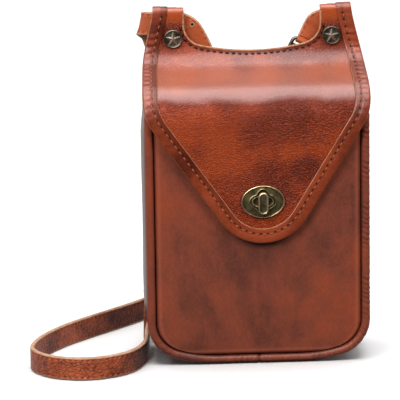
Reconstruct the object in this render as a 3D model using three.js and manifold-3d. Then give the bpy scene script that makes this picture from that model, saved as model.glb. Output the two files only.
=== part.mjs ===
// Crossbody phone bag: an upright leather pocket with a fold-over flap, a turn lock and a long strap.
// Millimetres. X points right, Y to the back, Z up. The origin is the middle of the base.
import * as THREE from 'three';
import { mergeVertices } from 'three/addons/utils/BufferGeometryUtils.js';
import Module from 'manifold-3d';

const wasm = await Module();
wasm.setup();

// Driving dimensions
const GAP = 0.3;
const LEATHER = 1.8;

const BODY = { halfWidth: 60, flatHalf: 22, bowRadius: 80, cornerRadius: 21, backY: 20.1, topZ: 137 };
const PIPING = { radius: 2.3, y: -17.6, sides: 10 };
const FRONT = { seamY: -18.4, crown: 1.3, columns: 12, rows: 18 };

// Flap: the outer face runs down the ear, round a hollow bend, down a slope and over a round bend
const FLAP = { earY: 16.2, frontY: -22.8, hollowRadius: 14, roundRadius: 20, slope: 20, slopeTopZ: 158.1 };
const OUTLINE = { halfWidth: 60.6, shoulderZ: 147, shoulderRadius: 28, tipX: 2.4, tipZ: 68.3, tipRadius: 27 };
const EAR = { innerX: 36.6, outerX: 53.2, topZ: 188.8, foldRadius: 2.9 };
const TAB = { innerX: 40.5, outerX: 48.5, endZ: 166.5 };
const EDGE_CONTROL = { upperX: 54.8, upperZ: 176, lowerX: 60.5, lowerZ: 162 };
const DIP = { z: 165.5, radius: 133, cornerRadius: 11 };
const BACK_TOP = { z: 170.5, x: 56, shoulderZ: 146, drop: 1 };
const BORDER = { width: 8, thickness: 1.2, gap: 0.25 };
const PUCKER = { pitch: 3.4, depth: 0.4, count: 9, samples: 4, startZ: 174 };

const RIVET = { x: 42.6, z: 172.6, seatGap: 0.8, capRadius: 5, floor: 1.6, postRadius: 0.9 };
const RIVET_HEAD = { radius: 2.4, height: 0.8 };
const STAR = { points: 5, outer: 3.7, inner: 1.6, height: 1.1 };
const LOCK = { x: 2.4, z: 91.3, steps: 32, holeA: 6.9, holeB: 4.5 };

const STRAP = { width: 12.6, thickness: 2.6, bevel: 0.5, spacing: 10 };
const BUCKLE = { length: 13, width: 17, bar: 2, prong: 1.6, corner: 3, x: 27.5, y: 24.4, z: 161.8, turn: 63 };

const COLOUR = { leather: '#8a4326', edge: '#a4552f', strap: '#9a5236', brass: '#7d6a45', steel: '#6f6a63' };

// Strap route from the buckle to the tip: the middle of the strap, and the way its upper edge points
// columns: x, y, z, edge x, edge y, edge z
const STRAP_ROUTE = [
  [30.9, 23.8, 168.4, -0.88, 0.05, 0.47],
  [32.5, 23.4, 171.8, -0.85, 0.1, 0.51],
  [34.0, 22.5, 175.2, -0.74, 0.1, 0.66],
  [36.1, 20.4, 178.7, -0.47, 0.06, 0.88],
  [41.4, 19.6, 180.2, -0.05, 0, 1],
  [45.0, 19.65, 180.3, 0, 0, 1],
  [49.3, 19.9, 180.2, 0, 0, 1],
  [51.8, 22.4, 179.6, 0, 0.1, 1],
  [51.2, 27.4, 175.4, -0.3, 0.4, 0.85],
  [49.6, 32.0, 167.5, -0.7, 0.3, 0.6],
  [48.0, 36.2, 152.0, -1, 0.1, 0.2],
  [47.0, 42.0, 86.0, -1, 0, 0],
  [46.6, 50.0, 44.0, -0.95, 0.1, 0.1],
  [47.0, 64.0, 19.5, -0.6, 0.4, 0.6],
  [49.0, 85.0, 8.8, -0.2, 0.2, 0.95],
  [55.5, 120.0, 6.5, 0, 0, 1],
  [56.5, 157.0, 6.5, 0, 0, 1],
  [40.0, 182.0, 6.5, 0, 0, 1],
  [11.0, 179.0, 6.5, 0, 0, 1],
  [-11.0, 149.0, 6.5, 0, 0, 1],
  [-33.0, 105.0, 6.5, 0, 0, 1],
  [-58.0, 69.0, 6.5, 0, 0, 1],
  [-106.0, 18.5, 6.5, 0, 0, 1],
  [-119.5, -5.0, 6.5, 0, 0, 1],
  [-121.8, -21.5, 6.5, 0, 0, 1],
  [-111.5, -35.8, 6.5, 0, 0, 1],
  [-91.5, -41.0, 6.5, 0, 0, 1],
  [-71.5, -32.0, 6.5, 0, 0, 1],
  [-61.8, -14.0, 6.5, 0, 0, 1],
  [-59.4, 10.0, 6.5, 0, 0, 1],
  [-58.4, 30.0, 7.6, 0.25, -0.15, 0.95],
  [-54.6, 47.5, 18.5, 0.65, -0.4, 0.5],
  [-50.6, 53.0, 44.0, 1, -0.1, 0.1],
  [-48.6, 42.0, 132.0, 1, 0, 0],
  [-50.0, 36.2, 160.0, 0.9, 0.15, 0.35],
  [-54.2, 31.6, 173.4, 0.55, 0.25, 0.75],
  [-58.9, 25.4, 178.8, 0.24, 0.12, 0.96],
  [-53.4, 20.0, 180.2, 0.05, 0, 1],
  [-46.4, 19.6, 180.2, 0, 0, 1],
  [-40.4, 19.6, 180.2, 0, 0, 1],
  [-34.2, 20.9, 177.2, 0.65, 0, 0.75],
  [-29.2, 22.8, 169.0, 0.88, 0, 0.47],
  [-22.5, 24.3, 153.5, 0.83, 0, 0.55],
  [-10.5, 24.5, 139.0, 0.42, 0, 0.9],
  [8.5, 24.6, 139.0, -0.42, 0, 0.9],
  [17.0, 25.4, 146.2, -0.74, 0, 0.67],
  [22.0, 26.9, 153.4, -0.86, 0, 0.5],
  [27.6, 27.1, 163.6, -0.88, 0, 0.47],
];

const AXIS = { x: new THREE.Vector3(1, 0, 0), y: new THREE.Vector3(0, 1, 0), z: new THREE.Vector3(0, 0, 1) };
const SIDEWAYS = new THREE.Matrix4().makeBasis(AXIS.y, AXIS.z, AXIS.x);
const FRONTAL = new THREE.Matrix4().makeBasis(AXIS.x, AXIS.z, AXIS.y.clone().negate());
const FAR = 70;
const OVER = 210;
const DOWN = -Math.PI / 2;

const rad = THREE.MathUtils.degToRad;
const bag = new THREE.Group();

function addPiece(name, geometry, color, metalness = 0, roughness = 0.4) {
  const mesh = new THREE.Mesh(geometry, new THREE.MeshStandardMaterial({ color, metalness, roughness }));
  mesh.name = name;
  bag.add(mesh);
  return mesh;
}

// Closed meshes and their joins and cuts

function closedGeometry(vertices, triangles) {
  const geometry = new THREE.BufferGeometry();
  const numbers = vertices.flatMap((vertex) => vertex.toArray());
  geometry.setAttribute('position', new THREE.Float32BufferAttribute(numbers, 3));
  geometry.setIndex(triangles.flat());
  return geometry;
}

function toSolid(geometry) {
  const bare = geometry.clone();
  bare.deleteAttribute('normal');
  bare.deleteAttribute('uv');
  const merged = mergeVertices(bare);
  const vertProperties = new Float32Array(merged.attributes.position.array);
  const triVerts = new Uint32Array(merged.index.array);
  return new wasm.Manifold(new wasm.Mesh({ numProp: 3, vertProperties, triVerts }));
}

function toGeometry(solid) {
  const { vertProperties, triVerts } = solid.getMesh();
  const geometry = new THREE.BufferGeometry();
  geometry.setAttribute('position', new THREE.Float32BufferAttribute(vertProperties, 3));
  geometry.setIndex([...triVerts]);
  geometry.computeVertexNormals();
  return geometry;
}

// A side profile of [y, z] points pushed from x0 to x1
function prismAlongX(profile, x0, x1) {
  const shape = new THREE.Shape(profile.map(([y, z]) => new THREE.Vector2(y, z)));
  const prism = new THREE.ExtrudeGeometry(shape, { depth: x1 - x0, bevelEnabled: false });
  return prism.applyMatrix4(SIDEWAYS).translate(x0, 0, 0);
}

// A front outline in x and z pushed from y0 to y1
function prismAlongY(shape, y0, y1, curveSegments = 10) {
  const prism = new THREE.ExtrudeGeometry(shape, { depth: y1 - y0, bevelEnabled: false, curveSegments });
  return prism.applyMatrix4(FRONTAL).translate(0, y1, 0);
}

// A section of [across, outward] points carried along stations
function sweep(stations, section) {
  const count = section.length;
  const vertices = stations.flatMap(({ centre, across, outward }) => section.map(([a, b]) => (
    centre.clone().addScaledVector(across, a).addScaledVector(outward, b))));
  const triangles = [];
  for (let i = 0; i + 1 < stations.length; i++) {
    for (let k = 0; k < count; k++) {
      const here = i * count + k;
      const next = i * count + ((k + 1) % count);
      triangles.push([here, next, next + count], [here, next + count, here + count]);
    }
  }
  const last = (stations.length - 1) * count;
  for (let k = 1; k + 1 < count; k++) {
    triangles.push([0, k + 1, k], [last, last + k, last + k + 1]);
  }
  return closedGeometry(vertices, triangles);
}

// A sheet between a front and a back grid of points
function slab(columns, rows, front, back) {
  const across = columns + 1;
  const size = across * (rows + 1);
  const vertices = [];
  for (const face of [front, back]) {
    for (let j = 0; j <= rows; j++) {
      for (let i = 0; i <= columns; i++) {
        vertices.push(face(i / columns, j / rows));
      }
    }
  }
  const triangles = [];
  const quad = (a, b, c, d) => triangles.push([a, b, c], [a, c, d]);
  for (let j = 0; j < rows; j++) {
    for (let i = 0; i < columns; i++) {
      const p = j * across + i;
      quad(p, p + 1, p + 1 + across, p + across);
      quad(size + p, size + p + across, size + p + 1 + across, size + p + 1);
    }
  }
  const wall = (p, q) => quad(q, p, size + p, size + q);
  for (let i = 0; i < columns; i++) {
    wall(i, i + 1);
    wall(rows * across + i + 1, rows * across + i);
  }
  for (let j = 0; j < rows; j++) {
    wall((j + 1) * across, j * across);
    wall(j * across + columns, (j + 1) * across + columns);
  }
  return closedGeometry(vertices, triangles);
}

// Rings round an axis along Y. Rows give half-widths a (x) and b (z), y, and how square the ring is.
// A row with no width is a point on the axis; an annulus joins its last row to its first.
function turned(rows, { x, z }, steps, annulus = false) {
  const vertices = [];
  const rings = rows.map(({ a, b = a, y, square = 2 }) => {
    const start = vertices.length;
    const count = a > 0 ? steps : 1;
    for (let k = 0; k < count; k++) {
      const angle = (2 * Math.PI * k) / steps;
      const c = Math.cos(angle);
      const s = Math.sin(angle);
      const across = a * Math.sign(c) * Math.abs(c) ** (2 / square);
      const upward = b * Math.sign(s) * Math.abs(s) ** (2 / square);
      vertices.push(new THREE.Vector3(x + across, y, z + upward));
    }
    return (k) => start + (k % count);
  });
  const triangles = [];
  const pairs = rings.slice(1).map((ring, i) => [rings[i], ring]);
  if (annulus) {
    pairs.push([rings[rings.length - 1], rings[0]]);
  }
  for (const [near, next] of pairs) {
    for (let k = 0; k < steps; k++) {
      if (next(k) !== next(k + 1)) {
        triangles.push([near(k), next(k), next(k + 1)]);
      }
      if (near(k) !== near(k + 1)) {
        triangles.push([near(k), next(k + 1), near(k + 1)]);
      }
    }
  }
  return closedGeometry(vertices, triangles);
}

function cylinderAlongY(radius, y0, y1, place, steps) {
  return turned([{ a: 0, y: y0 }, { a: radius, y: y0 }, { a: radius, y: y1 }, { a: 0, y: y1 }], place, steps);
}

// Body outline: upright sides, round corners, a slightly bowed bottom with a flat middle

const CORNER_X = BODY.halfWidth - BODY.cornerRadius;
const CORNER_REACH = BODY.bowRadius - BODY.cornerRadius;
const BOW_ANGLE = Math.asin((CORNER_X - BODY.flatHalf) / CORNER_REACH);
const CORNER_Z = BODY.bowRadius - CORNER_REACH * Math.cos(BOW_ANGLE);

function traceBody(path, inset, top) {
  const side = BODY.halfWidth - inset;
  const corner = BODY.cornerRadius - inset;
  const bow = BODY.bowRadius - inset;
  path.moveTo(-side, top);
  path.lineTo(-side, CORNER_Z);
  path.absarc(-CORNER_X, CORNER_Z, corner, Math.PI, 3 * Math.PI / 2 - BOW_ANGLE, false);
  path.absarc(-BODY.flatHalf, BODY.bowRadius, bow, DOWN - BOW_ANGLE, DOWN, false);
  path.absarc(BODY.flatHalf, BODY.bowRadius, bow, DOWN, DOWN + BOW_ANGLE, false);
  path.absarc(CORNER_X, CORNER_Z, corner, DOWN + BOW_ANGLE, 0, false);
  path.lineTo(side, top);
  return path;
}

function bodyHalfWidth(z, inset) {
  const corner = BODY.cornerRadius - inset;
  const bow = BODY.bowRadius - inset;
  if (z >= CORNER_Z) {
    return BODY.halfWidth - inset;
  }
  if (z >= CORNER_Z - corner * Math.cos(BOW_ANGLE)) {
    return CORNER_X + Math.sqrt(corner ** 2 - (CORNER_Z - z) ** 2);
  }
  return BODY.flatHalf + Math.sqrt(Math.max(0, bow ** 2 - (BODY.bowRadius - z) ** 2));
}

function frontPanel() {
  const inset = 2 * PIPING.radius + GAP;
  const height = BODY.topZ - inset;
  const face = (depth) => (u, v) => {
    const z = inset + height * v ** 2;
    const s = Math.sin((u - 0.5) * Math.PI);
    const rise = FRONT.crown * (1 - s ** 4) * (1 - (1 - v ** 2) ** 6);
    return new THREE.Vector3(s * bodyHalfWidth(z, inset), FRONT.seamY - rise + depth, z);
  };
  return slab(FRONT.columns, FRONT.rows, face(0), face(LEATHER));
}

function frontPiping() {
  const line = traceBody(new THREE.Path(), PIPING.radius, BODY.topZ).getPoints(5);
  const points = line.map(({ x, y }) => new THREE.Vector3(x, PIPING.y, y));
  const stations = points.map((centre, i) => {
    const before = points[Math.max(0, i - 1)];
    const after = points[Math.min(points.length - 1, i + 1)];
    const along = after.clone().sub(before).normalize();
    const outward = AXIS.y.clone().cross(along);
    return { centre, across: outward.clone().cross(along), outward };
  });
  const section = Array.from({ length: PIPING.sides }, (_, k) => {
    const angle = (2 * Math.PI * k) / PIPING.sides;
    return [PIPING.radius * Math.cos(angle), PIPING.radius * Math.sin(angle)];
  });
  return sweep(stations, section);
}

// Flap side profile: places on its outer face by the length run from the top of the ear

const SLOPE = rad(FLAP.slope);
const BEND = Math.PI / 2 - SLOPE;
const HOLLOW = {
  y: FLAP.earY - FLAP.hollowRadius,
  z: FLAP.slopeTopZ + FLAP.hollowRadius * Math.cos(SLOPE),
};
const SLOPE_TOP_Y = HOLLOW.y + FLAP.hollowRadius * Math.sin(SLOPE);
const ROUND_Y = FLAP.frontY + FLAP.roundRadius;
const SLOPE_RUN = SLOPE_TOP_Y - (ROUND_Y - FLAP.roundRadius * Math.sin(SLOPE));
const ROUND_Z = FLAP.slopeTopZ - SLOPE_RUN * Math.tan(SLOPE) - FLAP.roundRadius * Math.cos(SLOPE);
const FOLD_Z = EAR.topZ - EAR.foldRadius;
const RUN = {
  ear: FOLD_Z - HOLLOW.z,
  hollow: FLAP.hollowRadius * BEND,
  slope: SLOPE_RUN / Math.cos(SLOPE),
  round: FLAP.roundRadius * BEND,
  front: ROUND_Z - OUTLINE.tipZ + GAP,
};

// The place at run s, moved outward from the leather's face by lift
function flapPoint(s, lift) {
  let rest = s;
  if (rest <= RUN.ear) {
    return [FLAP.earY - lift, FOLD_Z - rest];
  }
  rest -= RUN.ear;
  if (rest <= RUN.hollow) {
    const angle = rest / FLAP.hollowRadius;
    const radius = FLAP.hollowRadius - lift;
    return [HOLLOW.y + radius * Math.cos(angle), HOLLOW.z - radius * Math.sin(angle)];
  }
  rest -= RUN.hollow;
  if (rest <= RUN.slope) {
    const y = SLOPE_TOP_Y - rest * Math.cos(SLOPE) - lift * Math.sin(SLOPE);
    return [y, FLAP.slopeTopZ - rest * Math.sin(SLOPE) + lift * Math.cos(SLOPE)];
  }
  rest -= RUN.slope;
  if (rest <= RUN.round) {
    const angle = SLOPE + rest / FLAP.roundRadius;
    const radius = FLAP.roundRadius + lift;
    return [ROUND_Y - radius * Math.sin(angle), ROUND_Z + radius * Math.cos(angle)];
  }
  return [FLAP.frontY - lift, ROUND_Z - (rest - RUN.round)];
}

function flapRuns(hollowSteps = 7, roundSteps = 10) {
  const roundStart = RUN.ear + RUN.hollow + RUN.slope;
  const runs = [0];
  for (let i = 0; i <= hollowSteps; i++) {
    runs.push(RUN.ear + (RUN.hollow * i) / hollowSteps);
  }
  for (let i = 0; i <= roundSteps; i++) {
    runs.push(roundStart + (RUN.round * i) / roundSteps);
  }
  runs.push(roundStart + RUN.round + RUN.front);
  return runs;
}

function flapLine(lift) {
  return flapRuns().map((s) => flapPoint(s, lift));
}

// The leather's section between two lifts, up one face and down the other
function flapSheet(innerLift, outerLine) {
  return [...outerLine, ...flapLine(innerLift).reverse()];
}

// The round fold over an ear's top, from the front layer to the back layer or only to the middle
const LOOP_ROOM = STRAP.thickness + 2 * GAP;
const EAR_BACK_Y = FLAP.earY + 2 * LEATHER + LOOP_ROOM;
const EAR_MIDDLE_Y = (FLAP.earY + EAR_BACK_Y) / 2;

function foldCorner(lift, y, start, end, steps = 5) {
  const radius = EAR.foldRadius + lift;
  return Array.from({ length: steps + 1 }, (_, i) => {
    const angle = start + ((end - start) * i) / steps;
    return [y + radius * Math.cos(angle), FOLD_Z + radius * Math.sin(angle)];
  });
}

function foldLine(lift, endZ) {
  const front = foldCorner(lift, FLAP.earY + EAR.foldRadius, Math.PI, Math.PI / 2);
  const back = foldCorner(lift, EAR_BACK_Y - EAR.foldRadius, Math.PI / 2, 0);
  return [[FLAP.earY - lift, HOLLOW.z + 2], ...front, ...back, [EAR_BACK_Y + lift, endZ]];
}

function halfFoldLine(lift) {
  const front = foldCorner(lift, FLAP.earY + EAR.foldRadius, Math.PI, Math.PI / 2);
  return [[FLAP.earY - lift, FOLD_Z - 1], ...front, [EAR_MIDDLE_Y, EAR.topZ + lift]];
}

// Flap front outline: dip between the ears, flared sides, round shoulders, straight edges to a round tip

const DIP_CORNER_X = EAR.innerX - DIP.cornerRadius;
const DIP_REACH = DIP.radius - DIP.cornerRadius;
const DIP_ANGLE = Math.asin(DIP_CORNER_X / DIP_REACH);
const DIP_CORNER_Z = DIP.z + DIP.radius - DIP_REACH * Math.cos(DIP_ANGLE);

function traceDip(path, drop, startAngle) {
  const z = DIP_CORNER_Z - drop;
  path.absarc(DIP_CORNER_X, z, DIP.cornerRadius, startAngle, DOWN + DIP_ANGLE, true);
  path.absarc(0, DIP.z + DIP.radius - drop, DIP.radius, DOWN + DIP_ANGLE, DOWN - DIP_ANGLE, true);
  path.absarc(-DIP_CORNER_X, z, DIP.cornerRadius, DOWN - DIP_ANGLE, -Math.PI - startAngle, true);
}

// Outward angle of the straight edge that touches a shoulder circle and the tip circle
function edgeAngle(side) {
  const x = side * (OUTLINE.halfWidth - OUTLINE.shoulderRadius) - OUTLINE.tipX;
  const z = OUTLINE.shoulderZ - OUTLINE.tipZ - OUTLINE.tipRadius;
  const spread = Math.acos((OUTLINE.tipRadius - OUTLINE.shoulderRadius) / Math.hypot(x, z));
  return Math.atan2(z, x) - side * spread;
}

function traceFlapEdge(path, inset) {
  const shoulderX = OUTLINE.halfWidth - OUTLINE.shoulderRadius;
  const shoulder = OUTLINE.shoulderRadius - inset;
  const left = edgeAngle(-1);
  const right = edgeAngle(1);
  const edge = OUTLINE.halfWidth - inset;
  const { upperX, upperZ, lowerX, lowerZ } = EDGE_CONTROL;
  path.lineTo(inset - EAR.outerX, EAR.topZ);
  path.bezierCurveTo(inset - upperX, upperZ, inset - lowerX, lowerZ, -edge, OUTLINE.shoulderZ);
  path.absarc(-shoulderX, OUTLINE.shoulderZ, shoulder, Math.PI, left, false);
  path.absarc(OUTLINE.tipX, OUTLINE.tipZ + OUTLINE.tipRadius, OUTLINE.tipRadius - inset,
    left, 2 * Math.PI + right, false);
  path.absarc(shoulderX, OUTLINE.shoulderZ, shoulder, right, 0, false);
  path.bezierCurveTo(lowerX - inset, lowerZ, upperX - inset, upperZ, EAR.outerX - inset, EAR.topZ);
  path.lineTo(EAR.outerX - inset, OVER);
}

function flapOutline() {
  const shape = new THREE.Shape();
  shape.moveTo(EAR.innerX, OVER);
  shape.lineTo(EAR.innerX, DIP_CORNER_Z);
  traceDip(shape, 0, 0);
  shape.lineTo(-EAR.innerX, OVER);
  shape.lineTo(-EAR.outerX, OVER);
  traceFlapEdge(shape, 0);
  return shape;
}

function borderOutline() {
  const [outer, inner] = [0, BORDER.width].map((inset) => {
    const path = new THREE.Path();
    path.moveTo(inset - EAR.outerX, OVER);
    traceFlapEdge(path, inset);
    return path.getPoints(10);
  });
  return new THREE.Shape([...outer, ...inner.reverse()]);
}

const rivetPlaces = [-1, 1].map((side) => ({ x: side * RIVET.x, z: RIVET.z }));

function flapSolid() {
  const sheet = prismAlongX(flapSheet(-LEATHER, flapLine(0)), -FAR, FAR);
  let solid = toSolid(sheet).intersect(toSolid(prismAlongY(flapOutline(), -FAR, FAR)));
  const half = [...halfFoldLine(0), ...halfFoldLine(-LEATHER).reverse()];
  const tab = [...foldLine(0, TAB.endZ), ...foldLine(-LEATHER, TAB.endZ).reverse()];
  for (const side of [-1, 1]) {
    const ends = [EAR.innerX * side, EAR.outerX * side].sort((a, b) => a - b);
    const tabEnds = [TAB.innerX * side, TAB.outerX * side].sort((a, b) => a - b);
    solid = solid.add(toSolid(prismAlongX(half, ...ends)));
    solid = solid.add(toSolid(prismAlongX(tab, ...tabEnds)));
  }
  for (const place of rivetPlaces) {
    solid = solid.subtract(toSolid(cylinderAlongY(RIVET.postRadius + GAP, 0, FAR, place, 12)));
  }
  const { holeA: a, holeB: b } = LOCK;
  const holeRows = [{ a: 0, y: -FAR }, { a, b, y: -FAR }, { a, b, y: 0 }, { a: 0, y: 0 }];
  const hole = turned(holeRows, LOCK, LOCK.steps);
  return toGeometry(solid.subtract(toSolid(hole)));
}

// The border's outer face swells between its stitches where the leather bends
function puckeredLine(lift) {
  const start = FOLD_Z - PUCKER.startZ;
  const step = PUCKER.pitch / PUCKER.samples;
  const swells = Array.from({ length: PUCKER.count * PUCKER.samples }, (_, i) => start + i * step);
  const end = start + PUCKER.count * PUCKER.pitch;
  const runs = [...flapRuns().filter((s) => s < start - step || s > end), ...swells, end];
  return runs.sort((a, b) => a - b).map((s) => {
    const inZone = s > start && s < end;
    const swell = inZone ? PUCKER.depth * Math.sin((Math.PI * (s - start)) / PUCKER.pitch) ** 2 : 0;
    return flapPoint(s, lift + swell);
  });
}

function borderSolid() {
  const innerLift = BORDER.gap;
  const outerLift = BORDER.gap + BORDER.thickness;
  const sheet = prismAlongX(flapSheet(innerLift, puckeredLine(outerLift)), -FAR, FAR);
  let solid = toSolid(sheet).intersect(toSolid(prismAlongY(borderOutline(), -FAR, FAR)));
  const fold = [...halfFoldLine(outerLift), ...halfFoldLine(innerLift).reverse()];
  for (const side of [-1, 1]) {
    const ends = [(EAR.outerX - BORDER.width) * side, EAR.outerX * side].sort((a, b) => a - b);
    solid = solid.add(toSolid(prismAlongX(fold, ...ends)));
  }
  for (const place of rivetPlaces) {
    solid = solid.subtract(toSolid(cylinderAlongY(RIVET.capRadius + GAP, 0, FAR, place, 24)));
  }
  return toGeometry(solid);
}

// Side and bottom wall, cut at the top to the flap's inner face
function gussetSolid() {
  const outer = traceBody(new THREE.Path(), 0, HOLLOW.z).getPoints(5);
  const inner = traceBody(new THREE.Path(), LEATHER, HOLLOW.z).getPoints(5);
  const band = new THREE.Shape([...outer, ...inner.reverse()]);
  const front = PIPING.y + PIPING.radius + GAP;
  const back = BODY.backY - LEATHER - GAP;
  const under = flapLine(-LEATHER - 2 * GAP);
  const [[topY]] = under;
  const cover = prismAlongX([...under, [-FAR, OUTLINE.tipZ], [-FAR, OVER], [topY, OVER]], -FAR, FAR);
  return toGeometry(toSolid(prismAlongY(band, front, back)).subtract(toSolid(cover)));
}

function backPanel() {
  const shape = new THREE.Shape();
  traceBody(shape, 0, BACK_TOP.shoulderZ);
  shape.lineTo(BACK_TOP.x, BACK_TOP.z);
  const rise = BACK_TOP.z - DIP_CORNER_Z + BACK_TOP.drop;
  traceDip(shape, BACK_TOP.drop, Math.asin(rise / DIP.cornerRadius));
  shape.lineTo(-BACK_TOP.x, BACK_TOP.z);
  return prismAlongY(shape, BODY.backY - LEATHER, BODY.backY, 8);
}

// Star rivet: a rimmed cap with a five-pointed star, a post through the ear and a plain back head
function rivet(place) {
  const seat = FLAP.earY - RIVET.seatGap;
  const tail = EAR_BACK_Y + GAP;
  // columns: radius, height over the ear's face
  const cap = [
    [0, RIVET.floor],
    [3.9, RIVET.floor],
    [4.3, 2.0],
    [4.8, 1.7],
    [RIVET.capRadius, 1.0],
    [RIVET.capRadius, 0],
    [RIVET.postRadius, 0],
  ];
  const rows = [
    ...cap.map(([a, height]) => ({ a, y: seat - height })),
    { a: RIVET.postRadius, y: tail },
    { a: RIVET_HEAD.radius, y: tail },
    { a: RIVET_HEAD.radius, y: tail + RIVET_HEAD.height },
    { a: 0, y: tail + RIVET_HEAD.height },
  ];
  const star = new THREE.ConeGeometry(STAR.outer, STAR.height, 2 * STAR.points);
  const position = star.attributes.position;
  for (let i = 0; i < position.count; i++) {
    const turn = Math.atan2(position.getX(i), position.getZ(i)) / (Math.PI / STAR.points);
    const shrink = Math.round(turn) % 2 ? STAR.inner / STAR.outer : 1;
    position.setX(i, position.getX(i) * shrink);
    position.setZ(i, position.getZ(i) * shrink);
  }
  star.rotateZ(Math.PI);
  star.translate(place.x, seat - RIVET.floor - STAR.height / 2 + GAP, place.z);
  return toGeometry(toSolid(turned(rows, place, 24)).add(toSolid(star)));
}

// Turn lock: plate on the flap, base on the front panel, knob on a pin in the base

const PLATE = { back: FLAP.frontY - BORDER.gap, rim: 1.95 };
const OVAL = { innerA: 6.8, innerB: 4.4, outerA: 11.6, outerB: 8.8 };
const KNOB_BACK = PLATE.back - PLATE.rim - GAP;
const KNOB = { depth: 3.6, halfWidth: 2.65, halfHeight: 5.95, square: 3, pin: 1.6 };
const BASE_BACK = FRONT.seamY - FRONT.crown - GAP;
const BASE = { front: -24, bevel: 0.5, bossA: 6.2, bossB: 3.7, flangeA: 8.5, flangeB: 6 };
const PIN_END_Y = -21.6;

function lockPlate() {
  // columns: share of the way from the opening to the outer edge, height over the plate's back
  const section = [
    [0, 1.65],
    [0.1, PLATE.rim],
    [0.25, PLATE.rim],
    [0.38, 1.2],
    [0.7, 1.1],
    [0.8, 1.75],
    [0.92, 1.7],
    [1, 0.9],
    [1, 0],
    [0, 0],
  ];
  const rows = section.map(([share, height]) => ({
    a: THREE.MathUtils.lerp(OVAL.innerA, OVAL.outerA, share),
    b: THREE.MathUtils.lerp(OVAL.innerB, OVAL.outerB, share),
    y: PLATE.back - height,
  }));
  return turned(rows, LOCK, LOCK.steps, true);
}

function lockBase() {
  const bore = KNOB.pin + GAP;
  const flangeFront = FLAP.frontY + LEATHER + GAP;
  const rows = [
    { a: 0, y: PIN_END_Y + GAP },
    { a: bore, y: PIN_END_Y + GAP },
    { a: bore, y: BASE.front },
    { a: BASE.bossA - BASE.bevel, b: BASE.bossB - BASE.bevel, y: BASE.front },
    { a: BASE.bossA, b: BASE.bossB, y: BASE.front + BASE.bevel },
    { a: BASE.bossA, b: BASE.bossB, y: flangeFront },
    { a: BASE.flangeA, b: BASE.flangeB, y: flangeFront },
    { a: BASE.flangeA, b: BASE.flangeB, y: BASE_BACK },
    { a: 0, y: BASE_BACK },
  ];
  return turned(rows, LOCK, LOCK.steps);
}

function lockKnob() {
  const { depth, halfWidth, halfHeight, pin } = KNOB;
  const front = KNOB_BACK - depth;
  // columns: cut from the half width, cut from the half height, depth from the front
  const grip = [
    [0.8, 1.1, 0.1],
    [0.2, 0.3, 0.8],
    [0, 0, 1.8],
    [0.3, 0.5, depth - 0.4],
    [0.6, 1, depth],
  ];
  const rows = [
    { a: 0, y: front },
    ...grip.map(([cutX, cutZ, inward]) => (
      { a: halfWidth - cutX, b: halfHeight - cutZ, y: front + inward, square: KNOB.square })),
    { a: pin, y: KNOB_BACK },
    { a: pin, y: PIN_END_Y },
    { a: 0, y: PIN_END_Y },
  ];
  return turned(rows, LOCK, LOCK.steps);
}

// Places along the strap's table, in rows, about as far apart as the strap's spacing
function strapPlaces(points) {
  const places = [0];
  for (let row = 1; row < points.length; row++) {
    const count = Math.max(2, Math.round(points[row].distanceTo(points[row - 1]) / STRAP.spacing));
    for (let i = 1; i <= count; i++) {
      places.push(row - 1 + i / count);
    }
  }
  return places;
}

function strap() {
  const middle = new THREE.CatmullRomCurve3(STRAP_ROUTE.map(([x, y, z]) => new THREE.Vector3(x, y, z)));
  const edge = new THREE.CatmullRomCurve3(STRAP_ROUTE.map((row) => new THREE.Vector3(...row.slice(3))));
  const places = strapPlaces(middle.points);
  const stations = places.map((place) => {
    const t = place / (STRAP_ROUTE.length - 1);
    const along = middle.getTangent(t);
    const wanted = edge.getPoint(t);
    const across = wanted.addScaledVector(along, -wanted.dot(along)).normalize();
    return { centre: middle.getPoint(t), across, outward: along.clone().cross(across) };
  });
  const w = STRAP.width / 2;
  const h = STRAP.thickness / 2;
  const c = STRAP.bevel;
  const section = [
    [w, c - h],
    [w, h - c],
    [w - c, h],
    [c - w, h],
    [-w, h - c],
    [-w, c - h],
    [c - w, -h],
    [w - c, -h],
  ];
  return sweep(stations, section);
}

// Buckle: a rounded frame with a prong across it, lying along the strap
function buckle() {
  const { length, width, bar, prong, corner } = BUCKLE;
  const roundedBox = (path, x0, z0, x1, z1, r) => {
    path.absarc(x1 - r, z0 + r, r, DOWN, 0, false);
    path.absarc(x1 - r, z1 - r, r, 0, Math.PI / 2, false);
    path.absarc(x0 + r, z1 - r, r, Math.PI / 2, Math.PI, false);
    path.absarc(x0 + r, z0 + r, r, Math.PI, 3 * Math.PI / 2, false);
    return path;
  };
  const frame = roundedBox(new THREE.Shape(), -length / 2, -width / 2, length / 2, width / 2, corner);
  const inX = length / 2 - bar;
  const inZ = width / 2 - bar;
  frame.holes.push(roundedBox(new THREE.Path(), -inX, prong / 2, inX, inZ, 1));
  frame.holes.push(roundedBox(new THREE.Path(), -inX, -inZ, inX, -prong / 2, 1));
  return prismAlongY(frame, -bar / 2, bar / 2, 3);
}

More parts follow.
